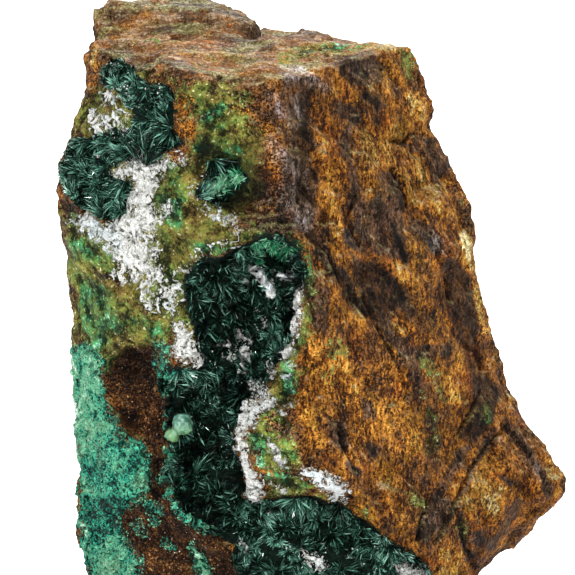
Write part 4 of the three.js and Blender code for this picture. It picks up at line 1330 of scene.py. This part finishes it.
# ---- Crusts and crystals -----------------------------------------------------
def crust(name, shapes, material, thickness, lump, net, nets=(), tone=CRUST_TONE, tones=(), wander=2.5,
          edge=0.25, rises=()):
    """A thin growth over the shapes, whose border sinks into the stone.

    thickness and lump are in mm, lump the height of its lumps. net is how much of it is a net of threads
    rather than solid, from 0 to 1. wander is how far its border strays in the front view, and edge how
    much darker it is there. nets, tones and rises say where the net, the tone and the thickness differ.
    """
    s = stone_surface()
    near = (inside_any(s["uv"], shapes) > -10) & (s["front"] > 0.2)
    quads = s["quads"][near[s["quads"]].all(axis=1)]
    quads, values = only_used(quads, [s["points"], s["normals"], s["front"]])
    quads, (points, normals, front) = quartered(quads, values)
    normals = unit(normals)
    uv = front_view(points)
    bent = points + 0.3 * np.stack([noise(points, 0.8, 71 + n) for n in range(3)], axis=1)
    holes = 2 * np.abs(noise(bent, 0.55, 75)) - 0.12
    open_by = toned(uv, np.full(len(uv), net), nets, 5)
    inside = np.minimum(inside_any(uv, shapes), 20 * (front - 0.4)) + wander * layered(bent, 2.6, 70, 2)
    level = np.minimum(inside, 8) / 5 + 1.1 * noise(bent, 1.5, 76) + 0.9 * noise(bent, 0.5, 77)
    level -= 6 * open_by * holes
    keep = (level > -0.1)[quads].any(axis=1)
    thickness = toned(uv, np.full(len(uv), thickness), rises)
    rise = np.sqrt(np.clip(level, 0, 1)) * thickness + np.clip(level, -0.2, 0) * 1.2
    lump = lump * smoothed(0.15 - normals[:, 1] / 0.6)
    rise += np.clip(level, 0, 1) * lump * (noise(bent, 0.9, 78) + 0.6 * noise(bent, 0.4, 79))
    points = in_box(points + normals * rise[:, None])
    tone = toned(uv, tone + 0.12 * layered(points, 1.5, 111), tones)
    tone += edge * (np.clip(level, 0, 1) - 0.7)
    quads, values = only_used(quads[keep], [points, tone])
    return add_piece(name, values[0], quads, material, {"tone": values[1]})


BLADE_RING = np.array([[1, 0], [0, 1], [-1, 0], [0, -1]])
BLADE_POINTS = 6  # four round its shoulder, its foot and its tip
SHOULDER = 0.6  # how far along a blade it is widest


def blades(roots, ways, sides, lengths, widths, thicknesses):
    """Four-sided blades, pointed at both ends: their points and triangles."""
    count = len(roots)
    sides = unit(np.cross(np.cross(ways, sides), ways))
    others = np.cross(ways, sides)
    points = np.empty((count, BLADE_POINTS, 3))
    middle = roots + ways * (lengths * SHOULDER)[:, None]
    for k, (a, b) in enumerate(BLADE_RING):
        points[:, k] = middle + sides * (a * widths / 2)[:, None] + others * (b * thicknesses / 2)[:, None]
    points[:, 4] = roots
    points[:, 5] = roots + ways * lengths[:, None]
    ring = []
    for k in range(4):
        n = (k + 1) % 4
        ring += [(k, n, 5), (n, k, 4)]
    faces = (np.array(ring)[None] + BLADE_POINTS * np.arange(count)[:, None, None]).reshape(-1, 3)
    return points.reshape(-1, 3), faces


def spots(inside, count, random):
    """Places on the stone where inside, a value for each of its points, is above 0."""
    s = stone_surface()
    quads = s["quads"][(inside > 0)[s["quads"]].all(axis=1)]
    if not len(quads):
        raise RuntimeError("there is no room on the stone for these growths")
    chosen = quads[random.integers(0, len(quads), count)]
    share = random.dirichlet(np.ones(4), count)
    points = (s["points"][chosen] * share[..., None]).sum(axis=1)
    normals = (s["normals"][chosen] * share[..., None]).sum(axis=1)
    return points, normals / np.linalg.norm(normals, axis=1, keepdims=True)


def apart(places, spacing):
    """Which places to keep so that none is nearer than spacing to another."""
    kept = []
    for n, place in enumerate(places):
        if not kept or np.linalg.norm(places[kept] - place, axis=1).min() > spacing:
            kept.append(n)
    return np.array(kept)


def spray_feet(shapes, sizes, random):
    """Where the sprays of a mat stand: places on the stone and its normals there."""
    s = stone_surface()
    inside = inside_any(s["uv"], shapes) - 1 + 3 * layered(s["points"], 1.1, 81, 2)
    inside = np.where(s["front"] > ON_FRONT, inside, NOWHERE)
    inside = np.minimum(inside, 1 - inside_any(s["uv"], EVERY_CLAY))
    feet, normals = spots(inside, sizes.tries, random)
    kept = apart(feet, sizes.spacing / MM)
    return feet[kept], normals[kept]


def open_fans(feet, normals, sizes, random):
    """The fans of sprays that open all round over the stone: their feet, ways, reach and shade."""
    sprays = len(feet)
    site = np.repeat(np.arange(sprays), sizes.fans)
    around = random.uniform(0, 2 * np.pi, len(site))
    tilt = np.radians(random.uniform(20, 82, len(site)))[:, None]
    across = unit(np.cross(normals[site], random.normal(size=(len(site), 3))))
    other = np.cross(normals[site], across)
    outward = across * np.cos(around)[:, None] + other * np.sin(around)[:, None]
    main = normals[site] * np.cos(tilt) + outward * np.sin(tilt)
    share = toned(front_view(feet), random.uniform(0.5, 1.3, sprays), CRYSTAL_REACH)
    reach = share[site] * sizes.length / MM
    shade = (random.normal(0, 0.16, sprays) + 0.42 * noise(feet, 2.6, 82))[site]
    foot = feet[site] + outward * random.uniform(0.05, 0.45, len(site))[:, None]
    return foot, main, reach, shade


def long_fans(node, sizes, random):
    """The fans of each long spray, which point one way in the front view, as open_fans gives them."""
    s = stone_surface()
    sprays = []
    for (u, v), long, (du, dv), spread in LONG_SPRAYS[node]:
        near = np.argmin(np.linalg.norm(s["uv"] - (u, v), axis=1) + 1e3 * (s["front"] < ON_FRONT))
        angle = np.arctan2(-dv, du) + random.normal(0, spread * 0.6, sizes.fans)
        main = np.stack([np.cos(angle), -random.uniform(0.05, 0.5, sizes.fans), np.sin(angle)], axis=1)
        reach = long * random.uniform(0.6, 1.0, sizes.fans)
        shade = np.full(sizes.fans, random.normal(0.12, 0.1))
        foot = s["points"][near] + 0.3 * random.normal(size=(sizes.fans, 3))
        sprays.append((foot, unit(main), reach, shade))
    return sprays


def fan_blades(foot, main, reach, sizes, random):
    """The blades of fans: their roots, ways, lengths and fans, and the way in which each fan is flat."""
    fans = len(main)
    flat = unit(np.cross(main, random.normal(size=(fans, 3))))
    index = np.repeat(np.arange(fans), random.integers(sizes.fewest, sizes.most + 1, fans))
    total = len(index)
    angle = random.normal(size=total) * random.uniform(0.06, 0.3, fans)[index]
    ways = main[index] * np.cos(angle)[:, None] + flat[index] * np.sin(angle)[:, None]
    ways = unit(ways + 0.17 * random.normal(size=(total, 3)))
    length = reach[index] * random.uniform(0.4, 1.05, total)
    roots = foot[index] + flat[index] * (0.1 * random.normal(size=total) + 0.3 * angle)[:, None]
    roots += random.normal(size=(total, 3)) * 0.05
    return roots, ways, length, index, flat


def on_mat(roots, ends, shapes):
    """Which blades stay in the box and over the shapes of their mat, and clear of the clay."""
    inside = (ends > BOX_LOW) & (ends < BOX_HIGH) & (roots > BOX_LOW) & (roots < BOX_HIGH)
    tips = front_view(ends)
    kept = inside.all(axis=1) & (inside_any(tips, shapes) > -4) & (inside_any(tips, EVERY_CLAY) < 2)
    return kept & (inside_any(front_view((roots + ends) / 2), EVERY_CLAY) < 1.5)


def crystal_mat(node, random):
    """A mat of crystals: sprays of flat fans of blades, each spray spreading from a foot on the stone.

    Returns the places near the tips of blades that carry a crumb of clay, and the ways of those blades.
    """
    sizes = bpy.context.scene.specimen_crystals
    shapes = MATS[node]
    feet, normals = spray_feet(shapes, sizes, random)
    sprays = [open_fans(feet, normals, sizes, random), *long_fans(node, sizes, random)]
    foot, main, reach, shade = (np.concatenate(rows) for rows in zip(*sprays))
    fans = len(main)
    roots, ways, length, index, flat = fan_blades(foot, main, reach, sizes, random)
    kept = on_mat(roots, roots + ways * length[:, None], shapes)
    roots, ways, length, index = roots[kept], ways[kept], length[kept], index[kept]
    total = len(roots)
    width = random.uniform(0.6, 1.7, fans)[index] * random.uniform(0.7, 1.4, total) * sizes.width / MM
    facing = unit(flat[index] + 0.4 * random.normal(size=(total, 3)))
    points, faces = blades(roots, ways, facing, length, width, width * random.uniform(0.4, 0.8, total))

    # Each blade is painted darker at its foot, as shade among the others, and lighter towards its tip, as
    # light shining through it; one in five is painted as lit right through.
    tone = toned(front_view(foot), np.full(fans, CRYSTAL_TONE), CRYSTAL_TONES, 4, 0.8) + shade
    lit = np.where(random.random(total) < 0.2, 0.5, -0.14)
    tone = (tone + random.normal(0, 0.17, fans))[index] + lit + random.normal(0, 0.08, total)
    along = np.tile([SHOULDER] * 4 + [0.0, 1.0], total)
    tone = np.repeat(tone, BLADE_POINTS) + 0.6 * along - 0.4
    places = front_view(roots)
    mint = 0.3 + inside_any(places, MINT_NEEDLES) / 4 + random.normal(0, 0.3, total)
    piece = add_piece(
        "crystals_" + node.removeprefix("atacamite_"), in_box(points), faces,
        bpy.data.materials["green crystals"],
        {"tone": np.clip(tone, 0, 1), "mint": np.repeat(np.clip(mint, 0, 1), BLADE_POINTS)}, smooth=False,
    )
    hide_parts(node)

    # Some crystals carry a crumb of clay, in clusters, beside the clay and in the crumbly places.
    chance = 0.3 * smoothed(1 + inside_any(places, EVERY_CLAY) / 8) + 0.5 * (inside_any(places, CRUMBLY) > 0)
    dusted = random.random(total) < chance * smoothed(4 * noise(roots, 0.9, 410) - 1.6)
    return (roots + ways * (0.85 * length)[:, None])[dusted], ways[dusted]


GRAIN_CORNERS = np.array([[1, 0, 0], [-1, 0, 0], [0, 1, 0], [0, -1, 0], [0, 0, 1], [0, 0, -1]], float)
GRAIN_SIDES = np.array(
    [(0, 2, 4), (2, 1, 4), (1, 3, 4), (3, 0, 4), (2, 0, 5), (1, 2, 5), (3, 1, 5), (0, 3, 5)]
)


def grains(name, points, normals, sizes, tone, material, random):
    """Small eight-sided grains, half sunk into what they stand on."""
    count = len(points)
    a = unit(random.normal(size=(count, 3)))
    b = unit(np.cross(a, random.normal(size=(count, 3))))
    turn = np.stack([a, b, np.cross(a, b)], axis=1) * random.uniform(0.7, 1.3, (count, 3, 1))
    shaped = np.einsum("ki,nij->nkj", GRAIN_CORNERS, turn) * sizes[:, None, None]
    corners = (points + normals * (sizes * 0.2)[:, None])[:, None] + shaped
    each = len(GRAIN_CORNERS)
    faces = (GRAIN_SIDES[None] + each * np.arange(count)[:, None, None]).reshape(-1, 3)
    attributes = {"tone": np.repeat(tone, each)}
    return add_piece(name, in_box(corners.reshape(-1, 3)), faces, material, attributes, smooth=False)


# ---- Settings ----------------------------------------------------------------
def colour(name, value, description):
    given = {"name": name, "description": description, "default": value}
    return FloatVectorProperty(**given, size=3, min=0, max=1, subtype="COLOR")


def length(name, value, description, **limits):
    """A setting whose value is given in mm."""
    given = {"name": name, "description": description, "default": value * MM}
    return FloatProperty(**given, unit="LENGTH", **limits)


def power(name, value, description):
    return FloatProperty(name=name, description=description, default=value, min=0, unit="POWER")


class SpecimenStone(bpy.types.PropertyGroup):
    facet: length("Facet", 0.42, "Width of one facet of the stone, twice that of its front", min=0.3 * MM)
    relief: FloatProperty(name="Relief", description="How rough the stone is", default=1.0, min=0, max=3)


class SpecimenCrystals(bpy.types.PropertyGroup):
    length: length("Length", 1.8, "Length of a typical crystal")
    width: length("Width", 0.115, "Width of a typical crystal")
    spacing: length("Spacing", 1.35, "Distance between the feet of two sprays")
    tries: IntProperty(name="Tries", description="Places tried for a mat's sprays", default=1200, min=10)
    fans: IntProperty(name="Fans", description="Fans of crystals in a spray", default=12, min=1)
    fewest: IntProperty(name="Fewest", description="Fewest crystals in a fan", default=6, min=1)
    most: IntProperty(name="Most", description="Most crystals in a fan", default=13, min=1)


class SpecimenColours(bpy.types.PropertyGroup):
    # Painted sheen of the stone.
    silver: colour("Silver", (0.26, 0.21, 0.18), "Silvery streaks of the stone")
    # Partly the upper faces' own paler colour, partly painted light from above.
    pale_lit_top: colour("Dusty", (0.44, 0.33, 0.2), "Dusty tone of the stone's upper faces")
    straw: colour("Straw", (0.34, 0.33, 0.13), "Greenish streaks of the stone's upper faces")
    peat: colour("Peat", (0.009, 0.005, 0.003), "Nearly black parts of the stone")
    goethite: colour("Goethite", (0.082, 0.045, 0.025), "Purple brown bands of the stone")
    umber: colour("Umber", (0.14, 0.062, 0.022), "Dark brown of the stone")
    rust: colour("Rust", (0.25, 0.09, 0.011), "Rusty brown of the stone")
    limonite: colour("Limonite", (0.41, 0.152, 0.016), "Orange brown of the stone")
    ochre: colour("Ochre", (0.38, 0.21, 0.032), "Yellow parts of the stone")
    tan: colour("Tan", (0.56, 0.42, 0.18), "Palest parts of the stone")
    olive: colour("Olive", (0.5, 0.62, 0.36), "Tint of the mossy brown parts of the stone")
    moss_brown: colour("Brown moss", (0.15, 0.09, 0.024), "Brown parts of the green film")
    moss_green: colour("Green moss", (0.118, 0.162, 0.03), "Grass green parts of the green film")
    red_earth: colour("Red earth", (1.0, 0.62, 0.4), "Tint of the reddest parts of the stone")
    moss: colour("Moss", (0.185, 0.155, 0.032), "Olive green film")
    moss_pale: colour("Pale moss", (0.55, 0.55, 0.34), "Pale grains of the green film")
    verdigris: colour("Verdigris", (0.09, 0.34, 0.15), "Bright green patches of the film")
    verdigris_deep: colour("Deep verdigris", (0.05, 0.19, 0.06), "Deeper parts of the green patches")
    druse: colour("Druse", (0.12, 0.045, 0.01), "Red brown lining of the hollows")
    druse_dark: colour("Dark druse", (0.028, 0.01, 0.004), "Deep parts of that lining")
    druse_glint: colour("Druse glint", (0.5, 0.26, 0.1), "Bright grains of that lining")
    clay: colour("Clay", (0.68, 0.68, 0.64), "White clay")
    clay_light: colour("Light clay", (0.9, 0.9, 0.88), "Whitest parts of the clay")
    clay_cool: colour("Cool clay", (0.8, 0.92, 1.0), "Tint of the bluish parts of the clay")
    clay_shadow: colour("Clay shadow", (0.3, 0.31, 0.27), "Grey of the clay")
    clay_pore: colour("Clay pore", (0.03, 0.032, 0.026), "Dark pores of the clay")
    teal: colour("Teal", (0.014, 0.22, 0.15), "Deeper parts of the turquoise crust")
    teal_deep: colour("Deep teal", (0.006, 0.08, 0.065), "Deepest parts of the turquoise crust")
    teal_black: colour("Black teal", (0.003, 0.02, 0.015), "Gaps of the turquoise crust")
    turquoise: colour("Turquoise", (0.05, 0.47, 0.3), "Main colour of the turquoise crust")
    mint: colour("Mint", (0.2, 0.5, 0.28), "Mint parts of the turquoise crust")
    mint_pale: colour("Pale mint", (0.5, 0.84, 0.64), "Palest parts of the turquoise crust")
    crystal_black: colour("Black crystal", (0.0006, 0.002, 0.0012), "Darkest crystals")
    crystal_deep: colour("Deep crystal", (0.006, 0.022, 0.014), "Dark crystals")
    crystal: colour("Crystal", (0.036, 0.118, 0.086), "Main colour of the crystals")
    # Painted light shining through the crystals.
    crystal_light: colour("Light crystal", (0.22, 0.5, 0.38), "Crystals that let light through")
    crystal_mint: colour("Mint crystal", (0.03, 0.3, 0.13), "Emerald crystals")
    crystal_mint_pale: colour("Pale mint crystal", (0.3, 0.62, 0.4), "Light green crystals")
    crystal_shine: colour("Crystal shine", (1.0, 1.0, 0.97), "Tint of what the crystals mirror")
    bead: colour("Bead", (0.17, 0.34, 0.27), "Milky colour of the bead")
    bead_deep: colour("Deep bead", (0.05, 0.17, 0.125), "Deeper parts of the bead")
    bead_black: colour("Black bead", (0.01, 0.06, 0.042), "Darkest parts of the bead")
    bead_green: colour("Green bead", (0.15, 0.32, 0.11), "Yellower foot of the bead")


class SpecimenStage(bpy.types.PropertyGroup):
    floor: length("Floor", 3000, "Width of the floor")
    key: power("Key", 3.4, "Power of the main light and of the one behind")
    fill: power("Fill", 1.1, "Power of the second light")
    top: power("Top", 3.6, "Power of the light above")


# ---- Operators ---------------------------------------------------------------
MAT_SEED, DRUSE_SEED, CRUMB_SEED = 200, 300, 400
CRUMB_SIZES = (0.04, 0.12)  # mm
CRUMB_TONE = 0.9
DRUSE_COUNT = 3000
DRUSE_SIZES = (0.04, 0.1)  # mm
BEAD_FACET = 0.09  # mm


class SPECIMEN_OT_materials(bpy.types.Operator):
    """Make the materials of the specimen"""

    bl_idname = "specimen.materials"
    bl_label = "Materials"

    def execute(self, context):
        torn_edge_group()
        crumbs_group()
        for make in (ironstone_material, clay_material, crust_material, crystal_material, bead_material,
                     grain_material, floor_material):
            make()
        return {"FINISHED"}


def stone_attributes(s):
    """What colours the stone, a value for each of its points, by name."""
    points, uv, front = s["points"], s["uv"], s["front"]
    hidden = (1 - front) * smoothed((points[:, 2] - 1) / 2)
    base = 0.5 - 0.1 * (1 - s["right"]) * front + 0.28 * hidden * layered(points, 8, 95)
    # The top faces are made paler: partly their own colour, partly painted light from above.
    base = base + 0.14 * s["top"] * front
    waves = [
        2.2 * layered(points, 0.8, seed, 2) + 3.5 * noise(points, 2.2, seed + 10) for seed in (161, 181)
    ]
    wobbled = uv + np.stack(waves, axis=1)
    far_moss = hidden * np.clip(layered(points, 11, 91) - 0.25, 0, 1)
    solid_clay = 0.76 - 0.6 * toned(uv, np.full(len(uv), CLAY_NET), CLAY_NETS, 5)
    return {
        "tone": base + (toned(wobbled, base, STONE_TONES, 2.5, 0.8) - base) * front,
        "height": s["height"],
        "right": s["right"],
        "top": s["top"],
        "silver": front_mask(inside_any(uv, PAINTED_SHEEN), 5, 2.5),
        "moss": 0.9 * front_mask(inside_film(uv), 10, 4) + far_moss,
        "film": toned(wobbled, np.full(len(uv), FILM_TONE), FILM_TONES, 4, 0.9),
        "druse": front_mask(inside_any(uv, DRUSE), 7, 2.5),
        "turquoise": front_mask(inside_any(uv, TURQUOISE + FLAKES), 7, 3),
        "clay": solid_clay * front_mask(inside_any(uv, EVERY_CLAY), 6, 2),
        "mat": front_mask(inside_any(uv, EVERY_MAT), 4, 2),
        "dusk": toned(wobbled, np.zeros(len(uv)), DARKNESS_AND_PAINTED_LIGHT, 4, 1) * front,
    }


class SPECIMEN_OT_stone(bpy.types.Operator):
    """Build the block of ironstone"""

    bl_idname = "specimen.stone"
    bl_label = "Ironstone"

    def execute(self, context):
        s = stone_surface()
        attributes = stone_attributes(s)
        front, back = s["quads"][:s["split"]], s["quads"][s["split"]:]
        points = s["points"]
        on_left = points[front][:, 0, 0] < PARTING
        parts = {
            "ironstone_left": front[on_left],
            "ironstone_right": front[~on_left],
            "ironstone_back": back,
        }
        for name, chosen in parts.items():
            faces, values = only_used(chosen, [points, s["normals"], *attributes.values()])
            piece = add_piece(name, values[0], faces, bpy.data.materials["broken ironstone"],
                              dict(zip(attributes, values[2:])), normals=values[1])
            if name == "ironstone_left":
                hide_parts("matrix")
        return {"FINISHED"}


class SPECIMEN_OT_clay(bpy.types.Operator):
    """Spread the white clay"""

    bl_idname = "specimen.clay"
    bl_label = "White clay"

    def execute(self, context):
        material = bpy.data.materials["white clay"]
        for node, shapes in CLAY.items():
            piece = crust("white_" + node, shapes, material, CLAY_THICKNESS[node], CLAY_LUMP, CLAY_NET,
                          CLAY_NETS, CLAY_TONE, CLAY_TONES, edge=0, rises=CLAY_RISES)
            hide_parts(node)
        return {"FINISHED"}


class SPECIMEN_OT_turquoise(bpy.types.Operator):
    """Grow the turquoise crust and the mint flakes"""

    bl_idname = "specimen.turquoise"
    bl_label = "Turquoise crust"

    def execute(self, context):
        material = bpy.data.materials["turquoise grains"]
        growth = crust("turquoise_growth", TURQUOISE, material, 0.3, 0.3, 0.2, tones=CRUST_TONES, wander=6)
        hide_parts("turquoise_crust")
        flakes = crust("mint_flakes", FLAKES, material, 0.45, 0.4, 0.25, tones=CRUST_TONES, wander=3)
        return {"FINISHED"}


class SPECIMEN_OT_crystals(bpy.types.Operator):
    """Grow the mats of green crystals, with crumbs of clay on them"""

    bl_idname = "specimen.crystals"
    bl_label = "Atacamite crystals"

    def execute(self, context):
        carried = [crystal_mat(node, np.random.default_rng(MAT_SEED + n)) for n, node in enumerate(MATS)]
        places, ways = (np.concatenate(rows) for rows in zip(*carried))
        random = np.random.default_rng(CRUMB_SEED)
        sizes = random.uniform(*CRUMB_SIZES, len(places))
        crumbs = grains("clay_crumbs", places, ways, sizes, np.full(len(places), CRUMB_TONE),
                        bpy.data.materials["white clay"], random)
        return {"FINISHED"}


class SPECIMEN_OT_grains(bpy.types.Operator):
    """Scatter the glittering grains of the rusty hollows"""

    bl_idname = "specimen.grains"
    bl_label = "Druse grains"

    def execute(self, context):
        s = stone_surface()
        random = np.random.default_rng(DRUSE_SEED)
        inside = np.where(s["front"] > ON_FRONT, inside_any(s["uv"], DRUSE), NOWHERE)
        points, normals = spots(inside, DRUSE_COUNT, random)
        sizes = random.uniform(*DRUSE_SIZES, len(points))
        piece = grains("druse_grains", points, normals, sizes, random.uniform(0, 1, len(points)) ** 1.6,
                       bpy.data.materials["druse grains"], random)
        return {"FINISHED"}


class SPECIMEN_OT_bead(bpy.types.Operator):
    """Set the green bead in its hollow"""

    bl_idname = "specimen.bead"
    bl_label = "Chrysocolla bead"

    def execute(self, context):
        points, quads = even_mesh("chrysocolla_bead", BEAD_FACET * MM)
        points = relaxed(points, quads, 8)
        normals = corner_normals(points, quads)
        points = points + normals * (0.2 * layered(points, 0.8, 121, 4))[:, None]
        piece = add_piece("green_bead", points, quads, bpy.data.materials["milky green bead"])
        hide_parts("chrysocolla_bead")
        return {"FINISHED"}


# Each light: its place and width in mm, and the setting of its power.
LIGHTS = {
    "key light": ((-220, -420, 400), 160, "key"),
    "fill light": ((280, -540, 160), 200, "fill"),
    "top light": ((120, 120, 550), 200, "top"),
    "back light": ((0, 600, 400), 300, "key"),
}
SKY = 0.16  # how much the white surroundings light the specimen
SEEN_SKY = 0.9  # how much brighter than that the camera sees them
SENSOR = 36.0  # mm wide


def area_light(name, place, width, energy):
    """A round light at a place in mm, turned to the middle of the specimen."""
    light = bpy.data.lights.new(name, "AREA")
    light.shape = "DISK"
    light.size = width * MM
    light.energy = energy
    lamp = bpy.data.objects.new(name, light)
    lamp.location = Vector(place) * MM
    way = Vector((0, 0, VIEW_MIDDLE)) - Vector(place)
    lamp.rotation_euler = way.to_track_quat("-Z", "Y").to_euler()
    bpy.context.scene.collection.objects.link(lamp)


class SPECIMEN_OT_stage(bpy.types.Operator):
    """Set up the floor, the lights and the camera"""

    bl_idname = "specimen.stage"
    bl_label = "Stage"

    def execute(self, context):
        scene = context.scene
        stage = scene.specimen_stage
        half = stage.floor / 2
        corners = [(-half, -half, 0), (half, -half, 0), (half, half, 0), (-half, half, 0)]
        mesh = bpy.data.meshes.new("floor")
        mesh.from_pydata(corners, [], [(0, 1, 2, 3)])
        mesh.materials.append(bpy.data.materials["studio floor"])
        floor = bpy.data.objects.new("floor", mesh)
        scene.collection.objects.link(floor)

        for name, (place, width, setting) in LIGHTS.items():
            area_light(name, place, width, getattr(stage, setting))

        world = bpy.data.worlds.new("studio")
        world.use_nodes = True
        t = Tree(world.node_tree)
        seen = t.add("ShaderNodeLightPath").outputs["Is Camera Ray"]
        background = world.node_tree.nodes["Background"]
        background.inputs["Color"].default_value = (1, 1, 1, 1)
        t.plug(background.inputs["Strength"], t.math("ADD", t.math("MULTIPLY", seen, SEEN_SKY), SKY))
        scene.world = world
        scene.view_settings.view_transform = "Standard"

        lens = bpy.data.cameras.new("front view")
        lens.sensor_width = SENSOR
        lens.lens = FOCAL / VIEW_SIZE * SENSOR
        lens.clip_end = 10
        camera = bpy.data.objects.new("front view", lens)
        camera.location = EYE * MM
        camera.rotation_euler = (np.pi / 2 - VIEW_TILT, 0, 0)
        scene.collection.objects.link(camera)
        scene.camera = camera
        return {"FINISHED"}


class SPECIMEN_PT_panel(bpy.types.Panel):
    """Builds the specimen piece by piece"""

    bl_idname = "SPECIMEN_PT_panel"
    bl_label = "Atacamite specimen"
    bl_space_type = "VIEW_3D"
    bl_region_type = "UI"
    bl_category = "Specimen"

    def draw(self, context):
        for operator in OPERATORS:
            self.layout.operator(operator.bl_idname)
        for key in SETTINGS:
            group = getattr(context.scene, key)
            box = self.layout.box()
            for name in group.__annotations__:
                box.prop(group, name)


SETTINGS = {
    "specimen_stone": SpecimenStone,
    "specimen_crystals": SpecimenCrystals,
    "specimen_colours": SpecimenColours,
    "specimen_stage": SpecimenStage,
}
OPERATORS = (
    SPECIMEN_OT_materials,
    SPECIMEN_OT_stage,
    SPECIMEN_OT_stone,
    SPECIMEN_OT_clay,
    SPECIMEN_OT_turquoise,
    SPECIMEN_OT_crystals,
    SPECIMEN_OT_grains,
    SPECIMEN_OT_bead,
)


def register():
    for cls in (*SETTINGS.values(), *OPERATORS, SPECIMEN_PT_panel):
        bpy.utils.register_class(cls)
    for key, cls in SETTINGS.items():
        setattr(bpy.types.Scene, key, PointerProperty(type=cls))


def unregister():
    for key in SETTINGS:
        delattr(bpy.types.Scene, key)
    for cls in (SPECIMEN_PT_panel, *reversed(OPERATORS), *reversed(SETTINGS.values())):
        bpy.utils.unregister_class(cls)


def main():
    register()
    for operator in OPERATORS:
        family, name = operator.bl_idname.split(".")
        getattr(getattr(bpy.ops, family), name)()
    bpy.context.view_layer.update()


if __name__ == "__main__":
    main()
